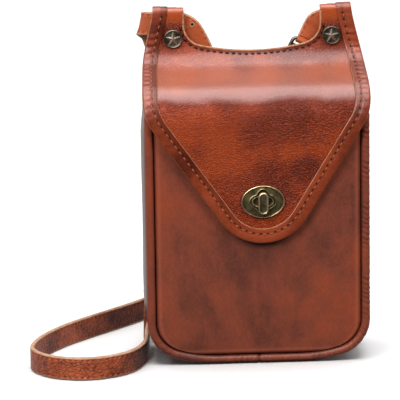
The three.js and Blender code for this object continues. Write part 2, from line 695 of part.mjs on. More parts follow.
addPiece('front_panel', frontPanel(), COLOUR.leather);
addPiece('front_piping', frontPiping(), COLOUR.leather);
addPiece('gusset', gussetSolid(), COLOUR.leather);
addPiece('back_panel', backPanel(), COLOUR.leather);
addPiece('flap', flapSolid(), COLOUR.leather);
addPiece('flap_border', borderSolid(), COLOUR.edge);
addPiece('left_rivet', rivet(rivetPlaces[0]), COLOUR.steel, 1);
addPiece('right_rivet', rivet(rivetPlaces[1]), COLOUR.steel, 1);
addPiece('lock_plate', lockPlate(), COLOUR.brass, 1);
addPiece('lock_base', lockBase(), COLOUR.brass, 1);
addPiece('lock_knob', lockKnob(), COLOUR.brass, 1);
addPiece('strap', strap(), COLOUR.strap);
const buckleMesh = addPiece('buckle', buckle(), COLOUR.steel, 1);
buckleMesh.position.set(BUCKLE.x, BUCKLE.y, BUCKLE.z);
buckleMesh.rotation.y = -rad(BUCKLE.turn);

export default bag;
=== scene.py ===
"""Crossbody phone bag: leather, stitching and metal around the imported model. Sizes are in millimetres."""
import math
from types import SimpleNamespace as Sizes

import bpy
import numpy as np
from mathutils import Matrix, Vector, geometry


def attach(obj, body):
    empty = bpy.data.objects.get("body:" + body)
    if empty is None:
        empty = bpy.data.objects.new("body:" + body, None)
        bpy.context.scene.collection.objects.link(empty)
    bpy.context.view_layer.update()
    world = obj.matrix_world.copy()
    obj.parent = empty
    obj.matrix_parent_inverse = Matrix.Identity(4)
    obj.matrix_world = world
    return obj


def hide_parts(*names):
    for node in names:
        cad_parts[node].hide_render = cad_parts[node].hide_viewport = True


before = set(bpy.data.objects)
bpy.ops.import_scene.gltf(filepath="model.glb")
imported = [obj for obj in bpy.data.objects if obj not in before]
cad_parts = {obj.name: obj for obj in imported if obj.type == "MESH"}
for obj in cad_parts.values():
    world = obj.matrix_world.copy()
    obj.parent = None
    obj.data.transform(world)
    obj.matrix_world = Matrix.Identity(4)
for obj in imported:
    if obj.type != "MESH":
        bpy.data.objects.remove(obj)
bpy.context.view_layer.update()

MM = 0.001
TURN = 2 * math.pi
DOWN = -math.pi / 2
BAG = "bag"
KNOB_BODY = "turn_knob"
LEATHER = 1.8
BODY = Sizes(half_width=60, flat_half=22, bow_radius=80, corner_radius=21, back_y=20.1, top_z=137)
PIPING = Sizes(radius=2.3, y=-17.6, step=0.7, sides=18, lowest=0.02, gather=2.8, fold=0.5, ripple=0.06,
               ripple_pitch=4.3, join=0.5, join_width=0.7, right_from=40, right_over=20, bottom_share=0.45,
               bottom_reach=60)
# Among these, painted shade in the seam groove by the piping and a painted highlight along the panel's
# rolled edge.
FRONT = Sizes(columns=96, rows=130, gap=0.3, seam_y=-18.4, crown=1.3, roll=1.1, roll_width=2.2, sag=0.22,
              edge_reach=55, seam_width=1.1, seam_right=0.4, seam_left=0.75, rub=0.22, rub_width=0.9)
# How dark the piping is painted: a little all over, then painted shade on its right side, in the gathers'
# folds, at the join, as a contact shadow near the floor and in the seam by the panel; and a painted
# highlight on the right side's crests.
PIPING_LOOK = Sizes(dark=0.08, right=0.07, fold=0.75, join=0.8, floor=0.95, floor_height=1.7, seam=0.75,
                    darkest=0.95, rub=0.15)
BACK = Sizes(body_z=130, side_z=133, top_z=170.5, step=1.6, spacing=2.2, edge=0.5, sag=0.25, bulge=0.15)
SIDES = Sizes(z=(130, 146, 158, 170), half_width=(60, 58.8, 56.8, 53.5))
GUSSET = Sizes(columns=26, gap=0.3, under_flap=0.6, seam=0.5, dent=0.35, belly=1.3, belly_z=(20, 140),
               belly_ease=15)
# Among these, painted shade in a band along the dip above its stitches, and a painted highlight on the fold
# over the ears.
FLAP = Sizes(ear_y=16.2, ear_back_y=23.0, front_y=-22.8, hollow=14, bend=20, slope=math.radians(20),
             slope_z=158.1, ease=5, sag=0.18, soft_edge=6, step=1.1, spacing=1.25, hem_dark=0.62,
             hem_width=1.9, hem_run=8, rub=0.15)
OUTLINE = Sizes(half_width=60.6, shoulder_z=147, shoulder=28, tip_x=2.4, tip_z=68.3, tip=27)
# Among these, where the painted highlight lies on the fold over the ear.
EAR = Sizes(inner_x=36.6, outer_x=53.2, top_z=188.8, fold=2.9, tab_in=40.5, tab_out=48.5, tab_end_z=166.5,
            tab_corner=3, flare=((54.8, 176), (60.5, 162)), rub_at=1, rub_width=4)
DIP = Sizes(z=165.5, radius=133, corner=11)
BEAD = Sizes(inset=0.3, step=0.8, half_width=0.55, half_height=0.5, sunk=0.1)
# Among these, painted shade in the puckers' troughs and painted highlight on their ridges and at the ears.
BORDER = Sizes(gap=0.25, stitch=4.9, step=0.45, middle=5, inner=(12, 13), outer=(0, 1, 14, 15), ear_run=14,
               pucker=0.32, ripple=0.1, hole=0.35, uneven=0.06, low=0.2, high=0.25, darkest=0.8, rub=0.12)
STITCH = Sizes(pitch=3.9, length=2.1, radius=0.42, lift=1.05, hole=0.5, hole_aside=0.45, hole_lift=1.04)
DIP_STITCH = Sizes(pitch=3.4, length=2.3, radius=0.62, inset=2.0, lift=0.1)
RIVET = Sizes(x=42.6, z=172.6, seat_gap=0.8, clear=5.3, star=4.3, star_inner=1.75,
              star_base=1.6, star_top=2.1)
LOCK = Sizes(x=2.4, z=91.3, hole_a=6.9, hole_b=4.5, steps=96, knob_width=2.65, knob_height=5.95, pin=1.6,
             pin_y=(-25.3, -23.4), plate=(11.6, 8.8), base_slot=(6.7, 4.0), knob_slot=(3.6, 6.9),
             lip=(6.3, 3.8), lip_height=0.1)
STRAP = Sizes(width=12.6, thickness=2.6, step=1.4, hole_at=(-31.5, 178.8), holes=((1.3, 0.05), (0.8, 0.1)))
BUCKLE = Sizes(length=13, width=17, bar=2, corner=3, prong=0.8, sides=12, x=27.5, y=24.4, z=161.8,
               turn=math.radians(63))

# Strap route from the buckle to the tip: the middle of the strap, and the way its upper edge points
# columns: x, y, z, edge x, edge y, edge z
STRAP_ROUTE = [
    [30.9, 23.8, 168.4, -0.88, 0.05, 0.47],
    [32.5, 23.4, 171.8, -0.85, 0.1, 0.51],
    [34.0, 22.5, 175.2, -0.74, 0.1, 0.66],
    [36.1, 20.4, 178.7, -0.47, 0.06, 0.88],
    [41.4, 19.6, 180.2, -0.05, 0, 1],
    [45.0, 19.65, 180.3, 0, 0, 1],
    [49.3, 19.9, 180.2, 0, 0, 1],
    [51.8, 22.4, 179.6, 0, 0.1, 1],
    [51.2, 27.4, 175.4, -0.3, 0.4, 0.85],
    [49.6, 32.0, 167.5, -0.7, 0.3, 0.6],
    [48.0, 36.2, 152.0, -1, 0.1, 0.2],
    [47.0, 42.0, 86.0, -1, 0, 0],
    [46.6, 50.0, 44.0, -0.95, 0.1, 0.1],
    [47.0, 64.0, 19.5, -0.6, 0.4, 0.6],
    [49.0, 85.0, 8.8, -0.2, 0.2, 0.95],
    [55.5, 120.0, 6.5, 0, 0, 1],
    [56.5, 157.0, 6.5, 0, 0, 1],
    [40.0, 182.0, 6.5, 0, 0, 1],
    [11.0, 179.0, 6.5, 0, 0, 1],
    [-11.0, 149.0, 6.5, 0, 0, 1],
    [-33.0, 105.0, 6.5, 0, 0, 1],
    [-58.0, 69.0, 6.5, 0, 0, 1],
    [-106.0, 18.5, 6.5, 0, 0, 1],
    [-119.5, -5.0, 6.5, 0, 0, 1],
    [-121.8, -21.5, 6.5, 0, 0, 1],
    [-111.5, -35.8, 6.5, 0, 0, 1],
    [-91.5, -41.0, 6.5, 0, 0, 1],
    [-71.5, -32.0, 6.5, 0, 0, 1],
    [-61.8, -14.0, 6.5, 0, 0, 1],
    [-59.4, 10.0, 6.5, 0, 0, 1],
    [-58.4, 30.0, 7.6, 0.25, -0.15, 0.95],
    [-54.6, 47.5, 18.5, 0.65, -0.4, 0.5],
    [-50.6, 53.0, 44.0, 1, -0.1, 0.1],
    [-48.6, 42.0, 132.0, 1, 0, 0],
    [-50.0, 36.2, 160.0, 0.9, 0.15, 0.35],
    [-54.2, 31.6, 173.4, 0.55, 0.25, 0.75],
    [-58.9, 25.4, 178.8, 0.24, 0.12, 0.96],
    [-53.4, 20.0, 180.2, 0.05, 0, 1],
    [-46.4, 19.6, 180.2, 0, 0, 1],
    [-40.4, 19.6, 180.2, 0, 0, 1],
    [-34.2, 20.9, 177.2, 0.65, 0, 0.75],
    [-29.2, 22.8, 169.0, 0.88, 0, 0.47],
    [-22.5, 24.3, 153.5, 0.83, 0, 0.55],
    [-10.5, 24.5, 139.0, 0.42, 0, 0.9],
    [8.5, 24.6, 139.0, -0.42, 0, 0.9],
    [17.0, 25.4, 146.2, -0.74, 0, 0.67],
    [22.0, 26.9, 153.4, -0.86, 0, 0.5],
    [27.6, 27.1, 163.6, -0.88, 0, 0.47],
]


# Materials

class Nodes:
    """The node tree of a material or world, with a short method for each kind of node used here."""

    def __init__(self, tree):
        self.tree = tree

    def fill(self, inputs, values):
        """Links an input to a socket, or sets it to a constant."""
        for key, value in values.items():
            if isinstance(value, bpy.types.NodeSocket):
                self.tree.links.new(value, inputs[key])
            else:
                inputs[key].default_value = value

    def add(self, kind, values=None, **settings):
        made = self.tree.nodes.new(kind)
        for key, value in settings.items():
            setattr(made, key, value)
        self.fill(made.inputs, values or {})
        return made

    def math(self, operation, a, b=0.0):
        return self.add("ShaderNodeMath", {0: a, 1: b}, operation=operation).outputs[0]

    def plus(self, a, b):
        return self.math("ADD", a, b)

    def minus(self, a, b):
        return self.math("SUBTRACT", a, b)

    def times(self, a, b):
        return self.math("MULTIPLY", a, b)

    def vector(self, operation, a, b=(0, 0, 0)):
        return self.add("ShaderNodeVectorMath", {0: a, 1: b}, operation=operation).outputs

    def mix(self, factor, a, b):
        """Colour a where the factor is 0, the constant colour or the socket b where it is 1."""
        made = self.add("ShaderNodeMix", {"Factor": factor}, data_type="RGBA")
        for key, end in ((6, a), (7, b)):
            self.fill(made.inputs, {key: (*end, 1) if isinstance(end, tuple) else end})
        return made.outputs[2]

    def mapped(self, value, low, high, start=0.0, end=1.0, kind="LINEAR"):
        """A value from start to end, stretched to run from low to high."""
        values = {"Value": value, "From Min": start, "From Max": end, "To Min": low, "To Max": high}
        return self.add("ShaderNodeMapRange", values, interpolation_type=kind).outputs["Result"]

    def ramp(self, value, start, end):
        """0 below start, 1 above end, smooth between."""
        return self.mapped(value, 0.0, 1.0, start, end, "SMOOTHSTEP")

    def between(self, value, limits, soft):
        """1 between two limits, 0 outside them, with soft ends. Limits in mm."""
        low, high = limits
        above = self.ramp(value, (low - soft) * MM, (low + soft) * MM)
        below = self.ramp(value, (high + soft) * MM, (high - soft) * MM)
        return self.times(above, below)

    def noise(self, place, scale, detail, roughness, distortion=0.0):
        values = {"Vector": place, "Scale": scale, "Detail": detail, "Roughness": roughness,
                  "Distortion": distortion}
        return self.add("ShaderNodeTexNoise", values).outputs["Fac"]

    def place(self, stretch=(1, 1, 1)):
        """Object coordinates, stretched."""
        place = self.add("ShaderNodeTexCoord").outputs["Object"]
        return self.add("ShaderNodeMapping", {"Vector": place, "Scale": stretch}).outputs["Vector"]

    def points(self, name):
        """A value that the mesh's points carry."""
        return self.add("ShaderNodeAttribute", attribute_name=name).outputs["Fac"]

    def bump(self, height, strength, depth):
        values = {"Height": height, "Strength": strength, "Distance": depth * MM}
        return self.add("ShaderNodeBump", values).outputs["Normal"]


def new_material(name, shader):
    """A material, its nodes and its Principled shader's inputs; shader holds the constant ones."""
    material = bpy.data.materials.new(name)
    material.use_nodes = True
    nodes = Nodes(material.node_tree)
    inputs = material.node_tree.nodes["Principled BSDF"].inputs
    nodes.fill(inputs, shader)
    return material, nodes, inputs


def scaled(colour, share):
    return tuple(c * share for c in colour)


def patch_shade(nodes, place, patches):
    """Sum of soft round patches. Columns: x, z, radius in mm, strength."""
    core = 0.25
    total = 0.0
    for x, z, radius, strength in patches:
        away = nodes.vector("SUBTRACT", place, (x * MM, 0, z * MM))[0]
        flat = nodes.vector("MULTIPLY", away, (1, 0, 1))[0]
        length = nodes.vector("LENGTH", flat)["Value"]
        near = nodes.ramp(length, radius * MM, radius * core * MM)
        total = nodes.plus(nodes.times(near, strength), total)
    return total


def wrinkles(nodes, place, scale):
    """0 in the fine creases and pores of the grain, 1 on the leather between."""
    crease_width, pore_width, pore_scale = 0.11, 0.26, 1.9
    level = nodes.minus(nodes.noise(place, scale, 2.5, 0.55, 0.9), 0.5)
    crease = nodes.ramp(nodes.math("ABSOLUTE", level), 0.0, crease_width)
    values = {"Vector": place, "Scale": scale * pore_scale, "Randomness": 1.0}
    cells = nodes.add("ShaderNodeTexVoronoi", values, feature="DISTANCE_TO_EDGE").outputs["Distance"]
    pore = nodes.ramp(cells, 0.0, pore_width)
    return nodes.plus(nodes.times(crease, 0.5), nodes.times(pore, 0.5))


PLAIN_LEATHER = dict(specular=0.35, patches=(), stretch=(1, 1, 1), grain_stretch=(0.6, 1, 1), crease=0.4,
                     calm=(), pulled=None, polish=None, dull=None, fold=None, marked=False)
# Among these: a darkening of the grain's creases and pores and of a band over the flap's bend, both painted
# shade, and a lift of colour where rub is high, partly rub and partly painted highlight.
WAX = Sizes(coat_rough=0.32, fleck=0.2, dark_to_mid=(0.26, 0.54), mid_to_light=(0.48, 0.74), in_creases=0.35,
            band_soft=3, band_uneven=9, uneven_scale=45.0, pulled=0.5, calm_bump=0.4, folded=0.9,
            fold_dark=0.8, rubbed=1.7, shaded=0.25, before_polish=0.08, dulled=0.8, fine_grain=0.3, bump=0.9)
# The grain is open on dark leather and closes on light: its shares, and the clouds between which it closes
GRAIN = Sizes(open=0.95, closed=0.6, start=0.36, end=0.6)


def leather_cloud(nodes, place, look):
    """Light and dark of the leather: large clouds, the patches seen in the photo, some of them painted light
    and shade, and small flecks.
    """
    cloud = nodes.noise(nodes.place(look.stretch), look.mottle, 5.0, 0.6, 0.7)
    if look.patches:
        cloud = nodes.plus(cloud, patch_shade(nodes, place, look.patches))
    fleck = nodes.minus(nodes.noise(place, look.mottle * 9, 3.0, 0.6), 0.5)
    return nodes.plus(cloud, nodes.times(fleck, WAX.fleck))


def uneven_height(nodes, place):
    """Height over the floor, made uneven so that no band across the leather has a straight edge."""
    uneven = nodes.minus(nodes.noise(place, WAX.uneven_scale, 2.0, 0.5), 0.5)
    z = nodes.add("ShaderNodeSeparateXYZ", {"Vector": place}).outputs["Z"]
    return nodes.plus(z, nodes.times(uneven, WAX.band_uneven * MM))


def mark_leather(nodes, inputs, colour, z, look):
    """Lighter where the points' rub is high, partly rub and partly painted highlight; darker and dull where
    their shade is high, which is painted shade.
    """
    colour = nodes.mix(nodes.points("rub"), colour, tuple(min(1, 0.03 + c * WAX.rubbed) for c in look.light))
    shade = nodes.points("shade")
    colour = nodes.mix(shade, colour, scaled(look.dark, WAX.shaded))
    # Painted shade also takes the gloss away.
    unshaded = nodes.minus(1.0, shade)
    waxed = nodes.times(unshaded, look.coat)
    if look.polish:
        waxed = nodes.times(waxed, nodes.mapped(z, WAX.before_polish, 1.0, *scaled(look.polish, MM)))
    if look.dull:
        waxed = nodes.times(waxed, nodes.mapped(z, 1.0, WAX.dulled, *scaled(look.dull, MM)))
    nodes.fill(inputs, {"Specular IOR Level": nodes.times(unshaded, look.specular), "Coat Weight": waxed})
    return colour


def leather(name, light, mid, dark, **settings):
    """Waxed leather: cloudy colour, creased grain, uneven gloss.

    calm holds bands of z in mm pulled smooth, of the colour pulled, and fold is a band of painted shade
    where the flap's bend turns from the light.
    polish and dull are the heights between which the gloss rises to its full and falls again.
    A marked leather reads the points' rub, which lightens as rub and as painted highlight, and their shade,
    which is painted shade.
    """
    look = Sizes(light=light, mid=mid, dark=dark, **{**PLAIN_LEATHER, **settings})
    shader = {"Specular IOR Level": look.specular, "Coat Weight": look.coat,
              "Coat Roughness": WAX.coat_rough}
    material, nodes, inputs = new_material(name, shader)
    place = nodes.place()
    z = uneven_height(nodes, place)
    cloud = leather_cloud(nodes, place, look)
    colour = nodes.mix(nodes.ramp(cloud, *WAX.dark_to_mid), dark, mid)
    colour = nodes.mix(nodes.ramp(cloud, *WAX.mid_to_light), colour, light)
    height = wrinkles(nodes, nodes.place(look.grain_stretch), look.grain)
    open_grain = nodes.mapped(cloud, GRAIN.open, GRAIN.closed, GRAIN.start, GRAIN.end)
    crease_shade = nodes.times(nodes.times(nodes.minus(1.0, height), look.crease), open_grain)
    strength = nodes.times(open_grain, WAX.bump)
    if look.calm:
        smooth = nodes.between(z, look.calm[0], WAX.band_soft)
        for band in look.calm[1:]:
            smooth = nodes.math("MAXIMUM", smooth, nodes.between(z, band, WAX.band_soft))
        crease_shade = nodes.times(crease_shade, nodes.minus(1.0, smooth))
        strength = nodes.times(strength, nodes.mapped(smooth, 1.0, WAX.calm_bump))
    # Painted shade in the grain's creases and pores.
    colour = nodes.mix(crease_shade, colour, scaled(dark, WAX.in_creases))
    if look.calm:
        colour = nodes.mix(nodes.times(smooth, WAX.pulled), colour, look.pulled)
    # A band of painted shade over the flap's bend, where it turns from the light.
    if look.fold:
        bend_shade_mask = nodes.times(nodes.between(z, look.fold, WAX.band_soft), WAX.folded)
        colour = nodes.mix(bend_shade_mask, colour, scaled(dark, WAX.fold_dark))
    if look.marked:
        colour = mark_leather(nodes, inputs, colour, z, look)
    wear = nodes.noise(place, look.mottle * 4, 3.0, 0.6)
    fine = nodes.noise(place, look.grain * 3.5, 2.0, 0.5)
    relief = nodes.plus(height, nodes.times(fine, WAX.fine_grain))
    nodes.fill(inputs, {"Base Color": colour, "Roughness": nodes.mapped(wear, *look.rough),
                        "Normal": nodes.bump(relief, strength, look.depth)})
    return material


def raw_edge(name, pale, dark):
    """Cut leather edge: pale fibres along the thickness."""
    material, nodes, inputs = new_material(name, {"Specular IOR Level": 0.2})
    place = nodes.place()
    fibre = nodes.noise(place, 420.0, 4.0, 0.65, 0.3)
    patchy = nodes.times(nodes.noise(place, 60.0, 2.0, 0.5), 0.4)
    colour = nodes.mix(nodes.ramp(nodes.plus(fibre, patchy), 0.5, 0.9), dark, pale)
    nodes.fill(inputs, {"Base Color": colour, "Roughness": nodes.mapped(fibre, 0.5, 0.8),
                        "Normal": nodes.bump(fibre, 0.6, 0.1)})
    return material


def thread_material(name, light, dark):
    material, nodes, inputs = new_material(name, {"Specular IOR Level": 0.15})
    values = {"Vector": nodes.place(), "Scale": 900.0, "Distortion": 2.0}
    twist = nodes.add("ShaderNodeTexWave", values, bands_direction="DIAGONAL").outputs["Fac"]
    colour = nodes.mix(twist, dark, light)
    nodes.fill(inputs, {"Base Color": colour, "Roughness": nodes.mapped(twist, 0.45, 0.65)})
    return material


def aged_metal(name, bright, dull, dark):
    """Antique metal: dark in the field, rubbed bright where the points' wear is high."""
    material, nodes, inputs = new_material(name, {"Metallic": 1.0})
    blotch = nodes.noise(nodes.place(), 240.0, 4.0, 0.65, 0.4)
    scratch = nodes.noise(nodes.place((1, 1, 0.15)), 1500.0, 2.0, 0.5)
    wear = nodes.points("wear")
    colour = nodes.mix(nodes.ramp(blotch, 0.4, 0.62), dark, dull)
    rubbed = nodes.plus(wear, nodes.times(nodes.minus(blotch, 0.5), 0.5))
    colour = nodes.mix(nodes.ramp(rubbed, 0.25, 0.85), colour, bright)
    rough = nodes.minus(nodes.plus(nodes.times(blotch, 0.25), 0.34), nodes.times(wear, 0.12))
    nodes.fill(inputs, {"Base Color": colour, "Roughness": rough, "Normal": nodes.bump(scratch, 0.25, 0.03)})
    return material


# Darker and lighter patches seen on the leather. Columns: x, z, radius in mm, strength
# On the flap, the darker row near z 148 across the bend is painted shade; the lighter row near z 155 below
# the hollow and the lighter patches on the ears' tops are painted highlight; the other patches are the
# leather's own.
FLAP_PATCHES = [
    (17, 137, 22, -0.12), (42, 142, 15, -0.08), (25, 109, 12, -0.27), (9, 102, 12, -0.15),
    (-3, 130, 13, -0.14), (-33, 119, 9, -0.13), (18, 117, 10, 0.16), (-32, 125, 30, 0.18),
    (-14, 112, 16, 0.06), (-42, 148, 14, -0.14), (-16, 148, 14, -0.1), (14, 148, 14, -0.08),
    (40, 149, 12, -0.04), (-43, 177, 9, -0.18), (43, 177, 9, -0.16), (-43, 187, 7, 0.22),
    (44, 187, 7, 0.22), (-6, 153, 8, -0.08), (30, 156, 10, 0.1), (-40, 155, 11, 0.16),
    (-18, 156, 11, 0.14), (8, 156, 11, 0.12), (48, 155, 10, 0.12),
]
PANEL_PATCHES = [
    (6, 63, 17, -0.1), (-10, 52, 12, -0.03), (-36, 48, 14, 0.02), (24, 42, 12, -0.11),
    (8, 12, 13, -0.07), (23, 18, 10, -0.1), (34, 67, 12, -0.08), (-53, 90, 24, 0.14),
    (-53, 38, 14, 0.1), (-41, 20, 14, 0.14), (-21, 40, 12, 0.14), (13, 36, 9, 0.1),
    (35, 45, 12, 0.14), (36, 17, 9, 0.12), (48, 62, 14, 0.12),
]
BORDER_PATCHES = [
    (-39, 114, 11, -0.3), (-48, 128, 9, -0.12), (-20, 90, 16, 0.14), (0, 72, 24, 0.14),
    (30, 100, 24, 0.1), (50, 180, 16, 0.04), (-50, 180, 16, -0.04),
]
# The darker patch at x -70 is painted shade from the bag beside it; the other two are the leather's own.
STRAP_PATCHES = [(-70, 6, 14, -0.14), (-112, 6, 10, -0.06), (-94, 6, 16, 0.1)]

flap_leather = leather("flap_leather", (0.34, 0.046, 0.007), (0.26, 0.032, 0.006), (0.18, 0.021, 0.005),
                       mottle=24, grain=410, depth=0.8, rough=(0.3, 0.42), coat=0.76, specular=0.15,
                       patches=FLAP_PATCHES, stretch=(0.75, 1, 1.2), grain_stretch=(0.7, 1.1, 1.1),
                       crease=0.58, calm=[(146.5, 158), (180, 195)], pulled=(0.3, 0.058, 0.008),
                       polish=(144, 147.5), dull=(157, 161), fold=(144.5, 150.5), marked=True)
panel_leather = leather("panel_leather", (0.29, 0.058, 0.025), (0.22, 0.052, 0.028), (0.12, 0.035, 0.023),
                        mottle=26, grain=420, depth=0.1, rough=(0.36, 0.5), coat=0.12, specular=0.22,
                        patches=PANEL_PATCHES, stretch=(1.2, 1, 0.7), grain_stretch=(1, 1, 0.4), crease=0.3,
                        marked=True)
side_leather = leather("side_leather", (0.12, 0.022, 0.01), (0.09, 0.018, 0.009), (0.06, 0.012, 0.007),
                       mottle=26, grain=600, depth=0.05, rough=(0.26, 0.36), coat=0.35, specular=0.4,
                       crease=0.2)
border_leather = leather("border_leather", (0.3, 0.055, 0.02), (0.215, 0.034, 0.012), (0.11, 0.017, 0.007),
                         mottle=30, grain=560, depth=0.12, rough=(0.26, 0.4), coat=0.45, specular=0.14,
                         patches=BORDER_PATCHES, crease=0.3, polish=(120, 140), marked=True)
strap_leather = leather("strap_leather", (0.57, 0.136, 0.056), (0.43, 0.093, 0.037), (0.14, 0.029, 0.014),
                        mottle=60, grain=290, depth=0.5, rough=(0.26, 0.4), coat=0.22, specular=0.2,
                        patches=STRAP_PATCHES, grain_stretch=(0.8, 0.8, 1), crease=0.9, calm=[(60, 195)],
                        pulled=(0.4, 0.085, 0.026), marked=True)
lining = leather("lining", (0.2, 0.075, 0.04), (0.15, 0.055, 0.03), (0.09, 0.035, 0.02),
                 mottle=40, grain=900, depth=0.08, rough=(0.7, 0.85), coat=0.0, specular=0.2)
pale_edge = raw_edge("pale_edge", (0.5, 0.24, 0.13), (0.34, 0.13, 0.06))
strap_edge = raw_edge("strap_edge", (0.54, 0.33, 0.21), (0.38, 0.2, 0.12))
tan_edge = raw_edge("tan_edge", (0.4, 0.14, 0.07), (0.25, 0.065, 0.028))
light_thread = thread_material("light_thread", (0.36, 0.13, 0.06), (0.2, 0.05, 0.02))
dark_thread = thread_material("dark_thread", (0.06, 0.009, 0.004), (0.025, 0.004, 0.002))
# Dark paint standing for the shade inside holes.
hole_shade = raw_edge("hole_shade", (0.03, 0.007, 0.004), (0.015, 0.004, 0.003))
lock_brass = aged_metal("lock_brass", (0.85, 0.69, 0.41), (0.25, 0.19, 0.088), (0.14, 0.105, 0.048))
rivet_metal = aged_metal("rivet_metal", (0.5, 0.45, 0.35), (0.17, 0.15, 0.11), (0.08, 0.067, 0.05))
buckle_metal = aged_metal("buckle_metal", (0.15, 0.135, 0.11), (0.05, 0.045, 0.038), (0.025, 0.022, 0.02))


# Meshes

def add_piece(name, points, faces, materials, replaces=(), body=BAG, face_materials=None, smooth=True):
    """A shown piece from points in mm, riding on a body and standing for CAD nodes."""
    mesh = bpy.data.meshes.new(name)
    mesh.from_pydata((np.asarray(points) * MM).tolist(), [], [list(map(int, face)) for face in faces])
    for material in materials:
        mesh.materials.append(material)
    if face_materials is not None:
        mesh.polygons.foreach_set("material_index", np.asarray(face_materials, dtype=np.int32))
    mesh.polygons.foreach_set("use_smooth", np.full(len(mesh.polygons), smooth))
    mesh.update()
    piece = bpy.data.objects.new(name, mesh)
    bpy.context.scene.collection.objects.link(piece)
    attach(piece, body)
    if replaces:
        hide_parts(*replaces)
    return piece


def set_points(piece, name, values):
    """A value for each point, which the materials read: wear on metal; on leather, painted shade, and rub
    with painted highlight.
    """
    made = piece.data.attributes.new(name, "FLOAT", "POINT")
    made.data.foreach_set("value", np.asarray(values, dtype=np.float32).ravel())


def thicken(piece, thickness, rim=0, back=0, bevel=0.3):
    """Wall thickness behind the shown face, with its cut edges rounded."""
    solid = piece.modifiers.new("wall", "SOLIDIFY")
    solid.thickness = thickness * MM
    solid.offset = -1
    solid.material_offset = back
    solid.material_offset_rim = rim
    if bevel:
        edge = piece.modifiers.new("edge", "BEVEL")
        edge.width = bevel * MM
        edge.segments = 2
        edge.limit_method = "ANGLE"
        edge.angle_limit = math.radians(60)


def tube_faces(rings, count, closed=False):
    """Quads between rings of a closed section, with caps at both ends unless the rings close."""
    faces = []
    columns = []
    for i in range(rings if closed else rings - 1):
        nxt = (i + 1) % rings
        for k in range(count):
            k2 = (k + 1) % count
            faces.append((i * count + k, i * count + k2, nxt * count + k2, nxt * count + k))
            columns.append(k)
    if not closed:
        faces.append(tuple(range(count - 1, -1, -1)))
        faces.append(tuple(range((rings - 1) * count, rings * count)))
        columns += [0, 0]
    return faces, columns


def clamp(values):
    return np.clip(values, 0, 1)


def round_angles(count):
    return np.linspace(0, TURN, count, endpoint=False)


def arc(cx, cz, radius, start, end, count):
    angle = np.linspace(start, end, count)
    return np.column_stack([cx + radius * np.cos(angle), cz + radius * np.sin(angle)])


def joined(*parts):
    """Runs of points end to end, without the doubled ones."""
    points = np.vstack(parts)
    keep = np.ones(len(points), bool)
    keep[1:] = np.linalg.norm(np.diff(points, axis=0), axis=1) > 1e-6
    return points[keep]


def run_lengths(points):
    """Length along a line at each of its points."""
    return np.concatenate([[0], np.cumsum(np.linalg.norm(np.diff(points, axis=0), axis=1))])


def resample(points, step):
    """Points about a step apart along a line."""
    lengths = run_lengths(points)
    count = max(2, int(round(lengths[-1] / step)) + 1)
    at = np.linspace(0, lengths[-1], count)
    return np.column_stack([np.interp(at, lengths, column) for column in points.T])


def resample_loop(points, step):
    """Points about a step apart round a closed line."""
    return resample(np.vstack([points, points[:1]]), step)[:-1]


def unit(vectors):
    return vectors / np.linalg.norm(vectors, axis=-1)[..., None]


def directions(points):
    return unit(np.gradient(points, axis=0))


def inside(points, polygon):
    """Which points lie inside a closed outline."""
    x, z = points[:, 0][:, None], points[:, 1][:, None]
    x0, z0 = polygon[:, 0], polygon[:, 1]
    x1, z1 = np.roll(x0, -1), np.roll(z0, -1)
    rise = np.where(z1 == z0, 1e-12, z1 - z0)
    crosses = ((z0 > z) != (z1 > z)) & (x < (x1 - x0) * (z - z0) / rise + x0)
    return crosses.sum(axis=1) % 2 == 1


def outline_distance(points, polygon):
    """Distance from each point to a closed outline."""
    best = np.full(len(points), np.inf)
    for a, edge in zip(polygon, np.roll(polygon, -1, axis=0) - polygon):
        t = clamp(((points - a) @ edge) / max(edge @ edge, 1e-12))
        best = np.minimum(best, np.linalg.norm(points - a - t[:, None] * edge, axis=1))
    return best


def fill_outline(polygon, spacing, hole=None):
    """Triangles over a flat outline, with points about a spacing apart."""
    low, high = polygon.min(axis=0), polygon.max(axis=0)
    across = np.arange(low[0], high[0], spacing)
    rows = np.arange(low[1], high[1], spacing * 0.87)
    grid = np.vstack([np.column_stack([across + spacing / 2 * (j % 2), np.full(len(across), row)])
                      for j, row in enumerate(rows)])
    keep = inside(grid, polygon) & (outline_distance(grid, polygon) > spacing * 0.55)
    loops = [polygon]
    if hole is not None:
        keep &= ~inside(grid, hole) & (outline_distance(grid, hole) > spacing * 0.5)
        loops.append(hole)
    edges = []
    count = 0
    for loop in loops:
        edges += [(count + i, count + (i + 1) % len(loop)) for i in range(len(loop))]
        count += len(loop)
    flat = np.vstack([*loops, grid[keep]])
    points, _, faces, _, _, _ = geometry.delaunay_2d_cdt([Vector(p) for p in flat], edges, [], 1, 1e-6)
    points = np.array([tuple(p) for p in points])
    faces = np.array([tuple(f) for f in faces])
    if hole is not None:
        faces = faces[~inside(points[faces].mean(axis=1), hole)]
    return points, faces


def waves(a, b, size, seed):
    """A soft uneven surface between -1 and 1, from a few crossed sines."""
    total = 0
    for k in range(5):
        turn = seed + 2.4 * k
        pitch = size * (0.7 + 0.23 * k)
        total = total + np.sin((a * math.cos(turn) + b * math.sin(turn)) / pitch * TURN + seed * (k + 1))
    return total / 5


# Body outline: upright sides, round corners, a slightly bowed bottom with a flat middle

CORNER_X = BODY.half_width - BODY.corner_radius
CORNER_REACH = BODY.bow_radius - BODY.corner_radius
BOW = math.asin((CORNER_X - BODY.flat_half) / CORNER_REACH)
CORNER_Z = BODY.bow_radius - CORNER_REACH * math.cos(BOW)


